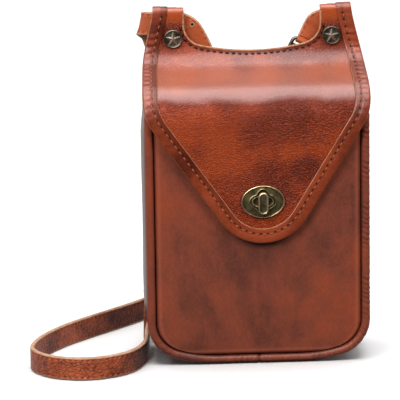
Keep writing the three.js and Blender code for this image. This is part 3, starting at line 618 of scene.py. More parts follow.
def body_path(inset, top):
    side = BODY.half_width - inset
    corner = BODY.corner_radius - inset
    bow = BODY.bow_radius - inset
    return joined(
        np.linspace((-side, top), (-side, CORNER_Z), 120),
        arc(-CORNER_X, CORNER_Z, corner, math.pi, 1.5 * math.pi - BOW, 30),
        arc(-BODY.flat_half, BODY.bow_radius, bow, DOWN - BOW, DOWN, 26),
        np.linspace((-BODY.flat_half, inset), (BODY.flat_half, inset), 50),
        arc(BODY.flat_half, BODY.bow_radius, bow, DOWN, DOWN + BOW, 26),
        arc(CORNER_X, CORNER_Z, corner, DOWN + BOW, 0, 30),
        np.linspace((side, CORNER_Z), (side, top), 120),
    )


def body_half_width(z, inset):
    corner = BODY.corner_radius - inset
    bow = BODY.bow_radius - inset
    at_corner = CORNER_X + np.sqrt(np.maximum(0, corner ** 2 - np.minimum(z - CORNER_Z, 0) ** 2))
    at_bow = BODY.flat_half + np.sqrt(np.maximum(0, bow ** 2 - (BODY.bow_radius - z) ** 2))
    return np.where(z >= CORNER_Z - corner * math.cos(BOW), at_corner, at_bow)


def front_panel():
    inset = 2 * PIPING.radius + FRONT.gap
    u, v = np.meshgrid(np.linspace(-0.5, 0.5, FRONT.columns + 1), np.linspace(0, 1, FRONT.rows + 1))
    z = inset + (BODY.top_z - inset) * v ** 1.6
    height = (z - inset) / (BODY.top_z - inset)
    across = np.sin(u * math.pi)
    x = across * body_half_width(z, inset)
    rise = FRONT.crown * (1 - across ** 4) * (1 - (1 - height) ** 6)
    edge = np.minimum((1 - np.abs(across)) * FRONT.edge_reach, z - inset)
    roll = FRONT.roll * clamp(1 - edge / FRONT.roll_width) ** 2
    sag = FRONT.sag * waves(x, z, 70, 0.7) * clamp(edge / 8)
    points = np.stack([x, FRONT.seam_y - rise + roll + sag, z], axis=-1)
    wide = FRONT.columns + 1
    corners = [j * wide + i for j in range(FRONT.rows) for i in range(FRONT.columns)]
    faces = [(p, p + 1, p + 1 + wide, p + wide) for p in corners]
    piece = add_piece("front_skin", points.reshape(-1, 3), faces, [panel_leather, lining],
                      ["front_panel"])
    # Painted shade in the seam groove by the piping, and a painted highlight along the rolled edge.
    seam_shade = np.where(x > 0, FRONT.seam_right, FRONT.seam_left)
    set_points(piece, "shade", seam_shade * clamp(1.1 - edge / FRONT.seam_width))
    set_points(piece, "rub", FRONT.rub * np.exp(-((edge - FRONT.roll_width) / FRONT.rub_width) ** 2))
    thicken(piece, LEATHER, back=1, bevel=0)


def front_piping():
    """Piping gathered at the right and a little at the bottom, with its join in the middle."""
    line = resample(body_path(PIPING.radius, BODY.top_z), PIPING.step)
    along = directions(line)
    angle = round_angles(PIPING.sides)
    signed = (angle + math.pi) % TURN - math.pi
    shown = clamp(np.cos(signed - 0.3)) ** 0.6
    run = (np.arange(len(line)) * PIPING.step)[:, None]
    from_middle = run - run[-1] / 2
    right_side = clamp((from_middle - PIPING.right_from) / PIPING.right_over)
    bottom = PIPING.bottom_share * clamp(1.5 - np.abs(from_middle) / PIPING.bottom_reach)
    gathered = np.maximum(right_side, bottom)
    turn = run / PIPING.gather + 0.35 * waves(run, 0.0, 15, 0.6) + 0.3 * signed
    uneven = np.clip(0.45 + 0.9 * waves(run, 0.0, 13, 2.7), 0.1, 1)
    fold = uneven * clamp(1 - np.abs(turn % 1 - 0.5) / 0.3) * shown * gathered
    ripple = PIPING.ripple * shown * np.sin(TURN * run / PIPING.ripple_pitch + 2 * signed)
    join = PIPING.join * np.exp(-(from_middle / PIPING.join_width) ** 2)
    full = PIPING.radius * (1 + 0.02 * waves(run, 0.0, 23, 1.3))
    radius = full - PIPING.fold * fold - ripple - join
    reach = radius * np.sin(angle)
    x = line[:, :1] + along[:, 1:] * reach
    z = np.maximum(line[:, 1:] - along[:, :1] * reach, PIPING.lowest)
    points = np.stack([x, PIPING.y - radius * np.cos(angle), z], axis=-1)
    faces, _ = tube_faces(len(line), PIPING.sides)
    piece = add_piece("piping_skin", points.reshape(-1, 3), faces, [panel_leather],
                      ["front_piping"])
    # Painted shade: a contact shadow near the floor, shade in the seam by the panel, in the gathers' folds
    # and the join, and over the right side; the piping is also darkened a little all over. A painted
    # highlight on the right side's crests.
    floor_shadow = clamp(1.4 - z / PIPING_LOOK.floor_height)
    seam = PIPING_LOOK.seam * clamp((-0.9 - signed) / 0.4) * (1 - 0.5 * right_side)
    shade = PIPING_LOOK.dark + PIPING_LOOK.right * right_side + PIPING_LOOK.fold * fold
    shade = shade + PIPING_LOOK.join * join + PIPING_LOOK.floor * floor_shadow + seam
    set_points(piece, "shade", np.clip(shade, 0, PIPING_LOOK.darkest))
    set_points(piece, "rub", clamp(PIPING_LOOK.rub * right_side * (shown - 1.6 * fold)))


# Flap profile: runs along its outer face from the fold over an ear, down to the tip

BEND = math.pi / 2 - FLAP.slope
HOLLOW_Y = FLAP.ear_y - FLAP.hollow
HOLLOW_Z = FLAP.slope_z + FLAP.hollow * math.cos(FLAP.slope)
SLOPE_Y = HOLLOW_Y + FLAP.hollow * math.sin(FLAP.slope)
ROUND_Y = FLAP.front_y + FLAP.bend
SLOPE_RUN = SLOPE_Y - (ROUND_Y - FLAP.bend * math.sin(FLAP.slope))
ROUND_Z = FLAP.slope_z - SLOPE_RUN * math.tan(FLAP.slope) - FLAP.bend * math.cos(FLAP.slope)
FOLD_Z = EAR.top_z - EAR.fold
FOLD_CORNER = EAR.fold * math.pi / 2
FOLD_FLAT = FLAP.ear_back_y - FLAP.ear_y - 2 * EAR.fold
RUN_EAR = FOLD_Z - HOLLOW_Z
RUN_HOLLOW = RUN_EAR + FLAP.hollow * BEND
RUN_SLOPE = RUN_HOLLOW + SLOPE_RUN / math.cos(FLAP.slope)
RUN_ROUND = RUN_SLOPE + FLAP.bend * BEND
FOLD_MIDDLE = -(FOLD_CORNER + FOLD_FLAT / 2)
FOLD_END = -(2 * FOLD_CORNER + FOLD_FLAT)


def flap_place(s, lift):
    """y and z at a run s along the profile, lift mm outward from the leather's face."""
    s, lift = np.broadcast_arrays(np.asarray(s, float), np.asarray(lift, float))
    back = (-s - FOLD_CORNER - FOLD_FLAT) / EAR.fold
    front = -s / EAR.fold
    hollow = (s - RUN_EAR) / FLAP.hollow
    down = s - RUN_HOLLOW
    bend = FLAP.slope + (s - RUN_SLOPE) / FLAP.bend
    fold = EAR.fold + lift
    sin_a, cos_a = math.sin(FLAP.slope), math.cos(FLAP.slope)
    ends = [FOLD_END, -FOLD_CORNER - FOLD_FLAT, -FOLD_CORNER, 0, RUN_EAR, RUN_HOLLOW, RUN_SLOPE, RUN_ROUND]
    cases = [s < end for end in ends]
    y = np.select(cases, [
        FLAP.ear_back_y + lift,
        FLAP.ear_back_y - EAR.fold + fold * np.sin(back),
        FLAP.ear_y + EAR.fold - s - FOLD_CORNER,
        FLAP.ear_y + EAR.fold - fold * np.cos(front),
        FLAP.ear_y - lift,
        HOLLOW_Y + (FLAP.hollow - lift) * np.cos(hollow),
        SLOPE_Y - down * cos_a - lift * sin_a,
        ROUND_Y - (FLAP.bend + lift) * np.sin(bend),
    ], FLAP.front_y - lift)
    z = np.select(cases, [
        FOLD_Z + s - FOLD_END,
        FOLD_Z + fold * np.cos(back),
        EAR.top_z + lift,
        FOLD_Z + fold * np.sin(front),
        FOLD_Z - s,
        HOLLOW_Z - (FLAP.hollow - lift) * np.sin(hollow),
        FLAP.slope_z - down * sin_a + lift * cos_a,
        ROUND_Z + (FLAP.bend + lift) * np.cos(bend),
    ], ROUND_Z - (s - RUN_ROUND))
    return y, z


def on_flap(x, s, lift):
    y, z = flap_place(s, lift)
    return np.stack(np.broadcast_arrays(x, y, z), axis=-1)


RUN_TABLE = np.linspace(-FOLD_CORNER, RUN_ROUND + 90, 4000)
Z_TABLE = flap_place(RUN_TABLE, 0)[1]


def run_at(z):
    """Run along the flap at a height seen from the front."""
    return np.interp(-z, -Z_TABLE, RUN_TABLE)


def laid_flat(line):
    """A line seen from the front, as x and run along the flap."""
    return np.column_stack([line[:, 0], run_at(line[:, 1])])


# Flap outline seen from the front

def edge_angle(side):
    x = side * (OUTLINE.half_width - OUTLINE.shoulder) - OUTLINE.tip_x
    z = OUTLINE.shoulder_z - OUTLINE.tip_z - OUTLINE.tip
    return math.atan2(z, x) - side * math.acos((OUTLINE.tip - OUTLINE.shoulder) / math.hypot(x, z))


def flare(inset, count):
    """The right ear's outer edge, from its top to the shoulder."""
    t = np.linspace(0, 1, count)[:, None]
    corners = [(EAR.outer_x, EAR.top_z), *EAR.flare, (OUTLINE.half_width, OUTLINE.shoulder_z)]
    p0, p1, p2, p3 = np.array(corners)
    curve = p0 * (1 - t) ** 3 + 3 * p1 * t * (1 - t) ** 2 + 3 * p2 * t ** 2 * (1 - t) + p3 * t ** 3
    return curve - [inset, 0]


def flap_edge(inset):
    """The flap's outer edge from left ear to right ear, as x and z. Every inset gives as many points."""
    shoulder_x = OUTLINE.half_width - OUTLINE.shoulder
    shoulder = OUTLINE.shoulder - inset
    left, right = edge_angle(-1), edge_angle(1)
    right_flare = flare(inset, 70)
    left_arc = arc(-shoulder_x, OUTLINE.shoulder_z, shoulder, math.pi, left % TURN, 30)
    tip_arc = arc(OUTLINE.tip_x, OUTLINE.tip_z + OUTLINE.tip, OUTLINE.tip - inset, left, TURN + right, 70)
    right_arc = arc(shoulder_x, OUTLINE.shoulder_z, shoulder, right, 0, 30)
    left_line = np.linspace(left_arc[-1], tip_arc[0], 100)[1:-1]
    right_line = np.linspace(tip_arc[-1], right_arc[0], 100)[1:-1]
    return np.vstack([right_flare * [-1, 1], left_arc[1:], left_line, tip_arc, right_line, right_arc[:-1],
                      right_flare[::-1]])


def dip_edge(drop=0.0, inset=0.0):
    """The curved top edge between the ears, from right to left."""
    corner_x = EAR.inner_x - DIP.corner
    reach = DIP.radius - DIP.corner
    tilt = math.asin(corner_x / reach)
    corner_z = DIP.z + DIP.radius - reach * math.cos(tilt) - drop
    corner, radius = DIP.corner + inset, DIP.radius + inset
    return joined(
        arc(corner_x, corner_z, corner, 0, DOWN + tilt, 24),
        arc(0, DIP.z + DIP.radius - drop, radius, DOWN + tilt, DOWN - tilt, 60),
        arc(-corner_x, corner_z, corner, DOWN - tilt, -math.pi, 24),
    )


def flat_flap_outline():
    """The flap laid flat: x, and the run along the profile turned upward."""
    outer = laid_flat(flap_edge(0)) * [1, -1]
    inner = laid_flat(dip_edge()) * [1, -1]
    middle, end = -FOLD_MIDDLE, -FOLD_END + FOLD_Z - EAR.tab_end_z
    corner = EAR.tab_corner
    tab = [(EAR.tab_out, middle), (EAR.tab_out, end - corner), (EAR.tab_out - corner, end),
           (EAR.tab_in + corner, end), (EAR.tab_in, end - corner), (EAR.tab_in, middle)]
    ear = np.array([(EAR.outer_x, middle), *tab, (EAR.inner_x, middle)])
    left_ear = (ear * [-1, 1])[::-1]
    return resample_loop(np.vstack([outer, ear, inner, left_ear]), FLAP.step)


def bend_ease(s):
    """Lift that eases the bends into the slope: the profile averaged over a short run, less the profile."""
    count = 2 * int(FLAP.ease / (RUN_TABLE[1] - RUN_TABLE[0])) + 1
    line = np.column_stack(flap_place(RUN_TABLE, 0))
    mean = np.column_stack([np.convolve(column, np.ones(count) / count, "same") for column in line.T])
    outward = np.column_stack(flap_place(RUN_TABLE, 1)) - line
    lift = np.sum((mean - line) * outward, axis=1)
    lift[:count] = 0
    lift[-count:] = 0
    return np.interp(s, RUN_TABLE, lift)


def ear_fold_highlight(s):
    """1 at the fold over an ear, falling to 0 along the run s: where a highlight is painted on the fold."""
    return np.exp(-((s - EAR.rub_at) / EAR.rub_width) ** 2)


def flap():
    angle = round_angles(40)
    hole = laid_flat(np.column_stack([LOCK.x + LOCK.hole_a * np.cos(angle),
                                      LOCK.z + LOCK.hole_b * np.sin(angle)])) * [1, -1]
    outline = flat_flap_outline()
    flat, faces = fill_outline(outline, FLAP.spacing, hole)
    x, s = flat[:, 0], -flat[:, 1]
    soft = clamp(outline_distance(flat, outline) / FLAP.soft_edge) * (s > 0)
    lift = (FLAP.sag * waves(x, s, 48, 2.1) + bend_ease(s)) * soft
    piece = add_piece("flap_skin", on_flap(x, s, lift), faces, [flap_leather, lining, pale_edge],
                      ["flap"])
    # Painted shade in a band along the dip above its stitches, and a painted highlight on the fold over the
    # ears.
    hem = outline_distance(flat, laid_flat(dip_edge()) * [1, -1])
    hem_shaded = clamp(1.5 - hem / FLAP.hem_width) * (s > RUN_EAR - FLAP.hem_run)
    set_points(piece, "shade", FLAP.hem_dark * hem_shaded)
    set_points(piece, "rub", FLAP.rub * ear_fold_highlight(s))
    thicken(piece, LEATHER, rim=2, back=1)


# Border strip's section. Columns: inset from the outer edge, height over the strip's back
BORDER_SECTION = np.array([
    [0.0, 0.25], [0.05, 0.75], [0.35, 1.08], [0.9, 1.22], [1.8, 1.3], [2.8, 1.34], [3.6, 1.3], [4.2, 1.15],
    [4.9, 0.95], [5.6, 1.0], [6.3, 1.02], [7.2, 0.95], [7.8, 0.85], [8.0, 0.7], [8.0, 0.0], [0.3, 0.0],
])


def border_lines(insets):
    """Grid of the border's places laid flat: for each inset, x and run, with the fold over the ear's top."""
    lines = []
    for inset in insets:
        edge = laid_flat(flap_edge(inset))
        lines.append(np.vstack([[edge[0, 0], FOLD_MIDDLE], edge, [edge[-1, 0], FOLD_MIDDLE]]))
    return np.stack(lines, axis=1)


def border_grid():
    """The border's points laid flat, a step apart along the strip, as x and run."""
    lines = border_lines(BORDER_SECTION[:, 0])
    lengths = run_lengths(lines[:, BORDER.middle])
    at = np.linspace(0, lengths[-1], int(lengths[-1] / BORDER.step))
    x, run = (np.column_stack([np.interp(at, lengths, line) for line in lines[..., k].T]) for k in (0, 1))
    return x, run


def clear_of_rivets(x, s):
    """The border's x, moved outward round the rivets' caps."""
    down = s - run_at(RIVET.z)
    reach = RIVET.x + np.sqrt(np.maximum(0, RIVET.clear ** 2 - down ** 2))
    for side in (-1, 1):
        x = np.where(np.hypot(x - side * RIVET.x, down) < RIVET.clear, side * reach, x)
    return x


def border_materials(s):
    """Faces of the border, with the leather's, the outer edge's or the inner edge's material for each."""
    count = len(BORDER_SECTION)
    faces, columns = tube_faces(len(s), count)
    which = []
    for face, column in zip(faces, columns):
        on_ear = s[min(face) // count, 0] < BORDER.ear_run
        inner = 2 if column in BORDER.inner and not on_ear else 0
        which.append(1 if column in BORDER.outer else inner)
    return [face[::-1] for face in faces], which


def flap_border():
    """The sewn-on strip, puckered between its stitches where it goes round the bends."""
    x, s = border_grid()
    x = clear_of_rivets(x, s)
    run = (np.arange(len(s)) * BORDER.step)[:, None]
    inset, height = BORDER_SECTION.T[:, None, :]
    puckered = clamp((s - 8) / 4) * clamp((RUN_ROUND - 4 - s) / 10)
    ridge = np.abs(np.sin(math.pi * (run / STITCH.pitch + 0.35 * waves(run, 0.0, 17, 0.8)))) - 0.5
    across = np.clip(inset / 1.5, 0.25, 1) * clamp((7 - inset) / 2.5)
    swell = BORDER.pucker * (0.6 + 0.8 * waves(run, inset, 9, 1.1)) * ridge * across * puckered
    ripple = BORDER.ripple * ridge * across * (1 - puckered)
    stitched = np.exp(-((inset - BORDER.stitch) / 0.55) ** 2)
    hole = BORDER.hole * stitched * clamp(1 - np.abs((run / STITCH.pitch) % 1 - 0.5) / 0.16)
    uneven = BORDER.uneven * waves(run, inset * 3, 12, 0.4)
    thin = 0.45 + 0.55 * clamp((s - 2) / 10)
    top = clamp((height - 0.2) / 0.6)
    lift = BORDER.gap + thin * height + top * (swell + ripple - hole + uneven)
    faces, which = border_materials(s)
    piece = add_piece("border_skin", on_flap(x, s, lift).reshape(-1, 3), faces,
                      [border_leather, tan_edge, pale_edge], ["flap_border"],
                      face_materials=which)
    # Painted shade in the puckers' troughs, along the stitch line and over the inner margin of the left
    # strip; painted highlight on the puckers' ridges and at the ears.
    pulled = 0.5 * np.clip(-swell, 0, BORDER.low) / BORDER.low + 0.35 * stitched
    inner = 0.4 * clamp((inset - 5.2) / 0.8) * clamp(-x / 20)
    set_points(piece, "shade", np.clip(pulled + inner, 0, BORDER.darkest))
    raised = 0.5 * np.clip(swell, 0, BORDER.high) / BORDER.high
    set_points(piece, "rub", raised + BORDER.rub * ear_fold_highlight(s))


def stitch_row(name, flat, lift, size, material):
    """Thread stitches along a line laid flat on the flap."""
    line = resample(flat, size.pitch)
    rings, sides = 7, 8
    points, faces = [], []
    t = np.linspace(-0.5, 0.5, rings)
    sunk = 0.3 * (2 * t) ** 4
    radius = size.radius * np.sqrt(np.clip(1 - (2 * t) ** 4, 0.03, 1))[:, None, None]
    angle = round_angles(sides)[:, None]
    for start, end in zip(line, line[1:]):
        x, s = (start + end) / 2
        way = (end - start) * size.length / np.linalg.norm(end - start)
        spine = on_flap(x + way[0] * t, s + way[1] * t, lift - sunk)
        outward = unit(on_flap(x, s, lift + 1) - on_flap(x, s, lift))
        side = np.cross(outward, unit(spine[-1] - spine[0]))
        base = len(points) * rings * sides
        ring = spine[:, None] + radius * (np.cos(angle) * side + np.sin(angle) * outward)
        points.append(ring.reshape(-1, 3))
        faces += [tuple(base + i for i in face) for face in tube_faces(rings, sides)[0]]
    add_piece(name, np.vstack(points), faces, [material])


def hole_row(name, flat, lift, size):
    """Dark discs painted as the shade in the needle holes between the stitches of a row."""
    line = resample(flat, size.pitch)
    sides = 10
    angle = round_angles(sides)
    points = [on_flap(x + size.hole * np.cos(angle), s + size.hole * np.sin(angle), lift) for x, s in line]
    faces = [tuple(range(k * sides, (k + 1) * sides)) for k in range(len(line))]
    add_piece(name, np.vstack(points), faces, [hole_shade])


def stitching():
    edge = border_lines([BORDER.stitch, BORDER.stitch + STITCH.hole_aside])
    thread, holes = (edge[edge[:, k, 1] > 1.0, k] for k in (0, 1))
    stitch_row("border_stitches", thread, BORDER.gap + STITCH.lift, STITCH, light_thread)
    hole_row("border_holes", holes, BORDER.gap + STITCH.hole_lift, STITCH)
    dip = laid_flat(dip_edge(0, DIP_STITCH.inset))
    stitch_row("dip_stitches", dip, DIP_STITCH.lift, DIP_STITCH, dark_thread)


def edge_bead():
    """The pale rolled edge of the flap along the dip and the ears' inner sides."""
    dip = dip_edge(0, BEAD.inset)
    ear = np.linspace((dip[0, 0], FOLD_Z), dip[0], 20)[:-1]
    flat = resample(laid_flat(np.vstack([ear, dip, (ear * [-1, 1])[::-1]])), BEAD.step)
    along = directions(flat)
    sides = 10
    angle = round_angles(sides)
    reach = BEAD.half_width * np.cos(angle)
    points = on_flap(flat[:, :1] + along[:, 1:] * reach, flat[:, 1:] - along[:, :1] * reach,
                     BEAD.half_height * np.sin(angle) - BEAD.sunk)
    faces, _ = tube_faces(len(flat), sides)
    add_piece("flap_bead", points.reshape(-1, 3), faces, [pale_edge])


def side_limit(z):
    """Half width of the sides: drawn in near the top, behind the flap's edge."""
    return np.interp(z, SIDES.z, SIDES.half_width)


def gusset():
    """The side and bottom wall, with a soft belly in its sides and a turned-in edge at both seams."""
    under = np.column_stack(flap_place(RUN_TABLE, -LEATHER - GUSSET.under_flap))[::-1]
    front, back = PIPING.y + PIPING.radius + GUSSET.gap, BODY.back_y - LEATHER - GUSSET.gap
    depth = np.linspace(front, back, GUSSET.columns)
    top = np.interp(depth, under[:, 0], under[:, 1])
    share = (depth - front) / (back - front)
    seam = GUSSET.seam * (clamp(1 - share * 12) ** 2 + clamp(1 - (1 - share) * 12) ** 2)
    low, high = GUSSET.belly_z

    def line(k, inset, seam_in):
        """One line round the wall, at a depth k."""
        path = body_path(inset + seam_in, HOLLOW_Z)
        height = clamp((path[:, 1] - CORNER_Z) / (HOLLOW_Z - CORNER_Z))
        z = np.where(path[:, 1] > CORNER_Z, CORNER_Z + height * (top[k] - CORNER_Z), path[:, 1])
        bulge = math.sin(math.pi * share[k])
        dent = GUSSET.dent * waves(path[:, 0] + z, depth[k] * 2, 60, 1.9) * (height > 0) * bulge
        upright = clamp((z - low) / GUSSET.belly_ease) * clamp((high - z) / GUSSET.belly_ease)
        half = np.minimum(np.abs(path[:, 0]) - clamp(dent), side_limit(z) - inset)
        x = np.sign(path[:, 0]) * (half + GUSSET.belly * bulge * upright)
        return np.column_stack([x, np.full(len(z), depth[k]), z])

    outer = [line(k, 0, seam[k]) for k in range(GUSSET.columns)]
    inner = [line(k, LEATHER, 0) for k in range(GUSSET.columns - 1, -1, -4)]
    rings = np.stack(outer + inner, axis=1)
    faces, columns = tube_faces(len(rings), rings.shape[1])
    which = [int(k >= GUSSET.columns) for k in columns]
    add_piece("gusset_skin", rings.reshape(-1, 3), faces, [side_leather, lining],
              ["gusset"], face_materials=which)


def back_panel():
    dip = dip_edge(1)
    height = np.linspace(BACK.side_z, BACK.top_z, 12)
    side = np.column_stack([side_limit(height), height])
    loop = np.vstack([body_path(0, BACK.body_z), side, dip[dip[:, 1] < BACK.top_z], (side * [-1, 1])[::-1]])
    outline = resample_loop(loop, BACK.step)
    flat, faces = fill_outline(outline, BACK.spacing)
    x, z = flat.T
    edge = outline_distance(flat, outline)
    sag = BACK.sag * waves(x, z, 80, 3.3) * clamp(edge / 8)
    y = BODY.back_y - BACK.edge * clamp(1 - edge / 3) ** 2 + sag
    points = np.column_stack([x, np.minimum(y, BODY.back_y + BACK.bulge), z])
    piece = add_piece("back_skin", points, faces[:, ::-1], [panel_leather, lining, tan_edge],
                      ["back_panel"])
    thicken(piece, LEATHER, rim=2, back=1)


# Metal

# Plate's rings: share of the way from the opening to the outer edge, height over its back, rubbed share
PLATE_RINGS = [
    (0.0, 0.1, 0.0), (0.0, 1.3, 0.1), (0.02, 1.62, 0.45), (0.07, 1.72, 0.5), (0.13, 1.6, 0.3),
    (0.18, 1.4, 0.0), (0.3, 1.36, 0.0), (0.6, 1.3, 0.05), (0.8, 1.2, 0.05), (0.87, 1.26, 0.3),
    (0.91, 1.42, 0.9), (0.95, 1.42, 1.0), (0.985, 1.2, 0.8), (1.0, 0.8, 0.2), (1.0, 0.0, 0.0),
]
# Base's rings: half width, half height, y, rubbed share
BASE_RINGS = [
    (0.05, 0.05, -23.3, 0.0), (1.9, 1.9, -23.3, 0.0), (3.6, 2.0, -23.35, 0.0), (4.9, 2.7, -23.45, 0.1),
    (5.25, 3.0, -23.85, 0.75), (5.7, 3.3, -24.0, 0.8), (6.1, 3.6, -23.85, 0.4), (6.2, 3.7, -23.4, 0.0),
    (6.2, 3.7, -20.7, 0.0), (8.5, 6.0, -20.7, 0.0), (8.5, 6.0, -20.0, 0.0), (0.05, 0.05, -20.0, 0.0),
]
# Knob's rings: cut from the half width, y, rubbed share
KNOB_RINGS = [
    (1.9, -28.5, 0.38), (1.1, -28.52, 0.36), (0.8, -28.6, 0.45), (0.55, -28.8, 0.95), (0.35, -28.8, 1.0),
    (0.12, -28.6, 0.8), (0.0, -28.1, 0.5), (0.0, -27.0, 0.2), (0.1, -25.7, 0.1), (0.4, -25.3, 0.0),
]
# Rivet's rings: radius, height over the ear's face, rubbed share
RIVET_RINGS = [
    (0.05, 1.55, 0.1), (3.2, 1.5, 0.1), (4.2, 1.45, 0.1), (4.45, 1.6, 0.2), (4.65, 1.75, 0.45),
    (4.82, 1.65, 0.4), (4.93, 1.4, 0.2), (5.0, 1.0, 0.1), (5.0, 0.0, 0.0), (0.9, 0.0, 0.0),
    (0.9, -7.4, 0.0), (2.4, -7.4, 0.2), (2.4, -8.0, 0.3), (2.1, -8.2, 0.4), (0.05, -8.2, 0.2),
]


def oval_reach(a, b, angle):
    return a * b / np.hypot(b * np.cos(angle), a * np.sin(angle))


def around(x0, z0, a, b, y, steps):
    """A ring of half width a and half height b, which are numbers or one for each step."""
    angle = round_angles(steps)
    return np.column_stack([x0 + a * np.cos(angle), np.full(steps, y), z0 + b * np.sin(angle)])


def pill(half_width, half_height, y):
    """A ring with straight sides and round ends."""
    ring = around(LOCK.x, LOCK.z, half_width, half_width, y, LOCK.steps)
    ring[:, 2] += np.sign(np.sin(round_angles(LOCK.steps))) * (half_height - half_width)
    return ring


def lock_piece(name, rings, wear, node_name, body=BAG, annulus=False):
    """A turned piece of the lock from rings, front to back, each with its rubbed share."""
    faces, _ = tube_faces(len(rings), LOCK.steps, annulus)
    piece = add_piece(name, np.vstack(rings), [face[::-1] for face in faces], [lock_brass],
                      [node_name], body)
    set_points(piece, "wear", np.repeat(wear, LOCK.steps))


def lock():
    back = FLAP.front_y - BORDER.gap
    angle = round_angles(LOCK.steps)
    opening = np.maximum(oval_reach(*LOCK.base_slot, angle), oval_reach(*LOCK.knob_slot, angle))
    reach = oval_reach(*LOCK.plate, angle) - opening
    reaches = [(oval_reach(*LOCK.lip, angle), LOCK.lip_height)]
    reaches += [(opening + reach * u, h) for u, h, _ in PLATE_RINGS]
    rings = [around(LOCK.x, LOCK.z, r, r, back - h, LOCK.steps) for r, h in reaches]
    wear = [0] + [row[2] for row in PLATE_RINGS]
    lock_piece("plate_metal", rings, wear, "lock_plate", annulus=True)
    rings = [around(LOCK.x, LOCK.z, a, b, y, LOCK.steps) for a, b, y, _ in BASE_RINGS]
    lock_piece("base_metal", rings, [row[3] for row in BASE_RINGS], "lock_base")
    rings = [pill(LOCK.knob_width - cut, LOCK.knob_height - cut, y) for cut, y, _ in KNOB_RINGS]
    rings += [around(LOCK.x, LOCK.z, LOCK.pin, LOCK.pin, y, LOCK.steps) for y in LOCK.pin_y]
    lock_piece("knob_metal", rings, [row[2] for row in KNOB_RINGS] + [0, 0], "lock_knob", KNOB_BODY)


def star_rivet(name, side, node_name):
    seat = FLAP.ear_y - RIVET.seat_gap
    steps, corners = 60, 10
    x0 = side * RIVET.x
    rings = [around(x0, RIVET.z, r, r, seat - h, steps) for r, h, _ in RIVET_RINGS]
    faces, _ = tube_faces(len(rings), steps)
    faces = [face[::-1] for face in faces]
    first = len(rings) * steps
    top = first + corners
    turn = math.pi / 2 + round_angles(corners)
    reach = np.where(np.arange(corners) % 2 == 0, RIVET.star, RIVET.star_inner)
    star = np.column_stack([x0 + reach * np.cos(turn), np.full(corners, seat - RIVET.star_base),
                            RIVET.z + reach * np.sin(turn)])
    points = np.vstack([*rings, star, [x0, seat - RIVET.star_top, RIVET.z]])
    facets = [(first + k, first + (k + 1) % corners, top) for k in range(corners)]
    facets.append(tuple(range(top - 1, first - 1, -1)))
    piece = add_piece(name, points, faces + facets, [rivet_metal], [node_name])
    piece.data.polygons.foreach_set("use_smooth", [True] * len(faces) + [False] * len(facets))
    cap_wear = np.repeat([row[2] for row in RIVET_RINGS], steps)
    set_points(piece, "wear", [*cap_wear, *([0.9, 0.3] * (corners // 2)), 1.0])


def buckle():
    half_l, half_w = BUCKLE.length / 2 - BUCKLE.bar / 2, BUCKLE.width / 2 - BUCKLE.bar / 2
    r = BUCKLE.corner - BUCKLE.bar / 2
    loop = np.vstack([
        arc(half_l - r, r - half_w, r, DOWN, 0, 8),
        arc(half_l - r, half_w - r, r, 0, math.pi / 2, 8),
        arc(r - half_l, half_w - r, r, math.pi / 2, math.pi, 8),
        arc(r - half_l, r - half_w, r, math.pi, 1.5 * math.pi, 8),
    ])
    loop = resample_loop(loop, 0.7)
    prong = np.column_stack([np.linspace(-half_l, half_l, 30), np.zeros(30)])
    around_loop = directions(np.vstack([loop[-1:], loop, loop[:1]]))[1:-1]
    c, s = math.cos(BUCKLE.turn), math.sin(BUCKLE.turn)
    angle = round_angles(BUCKLE.sides)
    points, faces = [], []
    for line, along, radius, closed in ((loop, around_loop, BUCKLE.bar / 2, True),
                                        (prong, directions(prong), BUCKLE.prong, False)):
        base = sum(len(p) for p in points)
        reach = radius * np.cos(angle)
        a = line[:, :1] + along[:, 1:] * reach
        b = line[:, 1:] - along[:, :1] * reach
        y = np.broadcast_to(BUCKLE.y - radius * np.sin(angle), a.shape)
        rings = np.stack([BUCKLE.x + a * c - b * s, y, BUCKLE.z + a * s + b * c], axis=-1)
        points.append(rings.reshape(-1, 3))
        faces += [tuple(base + i for i in face) for face in tube_faces(len(line), BUCKLE.sides, closed)[0]]
    piece = add_piece("buckle_metal", np.vstack(points), faces, [buckle_metal], ["buckle"])
    set_points(piece, "wear", np.tile(0.4 + 0.3 * np.sin(angle), len(loop) + len(prong)))
    return piece


# Strap

def smooth_curve(rows, places):
    """A centripetal curve through the rows, at places counted in rows."""
    padded = np.vstack([2 * rows[0] - rows[1], rows, 2 * rows[-1] - rows[-2]])
    out = []
    for place in places:
        i = min(int(place), len(rows) - 2)
        t = place - i
        p0, p1, p2, p3 = padded[i:i + 4]
        d0, d1, d2 = (np.linalg.norm(b - a) ** 0.5 for a, b in ((p0, p1), (p1, p2), (p2, p3)))
        d1 = 1.0 if d1 < 1e-4 else d1
        d0 = d1 if d0 < 1e-4 else d0
        d2 = d1 if d2 < 1e-4 else d2
        m1 = ((p1 - p0) / d0 - (p2 - p0) / (d0 + d1) + (p2 - p1) / d1) * d1
        m2 = ((p2 - p1) / d1 - (p3 - p1) / (d1 + d2) + (p3 - p2) / d2) * d1
        square = -3 * p1 + 3 * p2 - 2 * m1 - m2
        cube = 2 * p1 - 2 * p2 + m1 + m2
        out.append(p1 + m1 * t + square * t ** 2 + cube * t ** 3)
    return np.array(out)


def strap_frame():
    """Places, upper-edge ways and outward ways along the strap."""
    route = np.array(STRAP_ROUTE, float)
    places = []
    for row in range(len(route) - 1):
        count = max(3, int(np.linalg.norm(route[row + 1, :3] - route[row, :3]) / STRAP.step))
        places += list(row + np.arange(count) / count)
    places.append(len(route) - 1)
    middle = smooth_curve(route[:, :3], places)
    wanted = smooth_curve(route[:, 3:], places)
    along = directions(middle)
    across = unit(wanted - (wanted * along).sum(axis=1)[:, None] * along)
    return middle, across, np.cross(along, across)


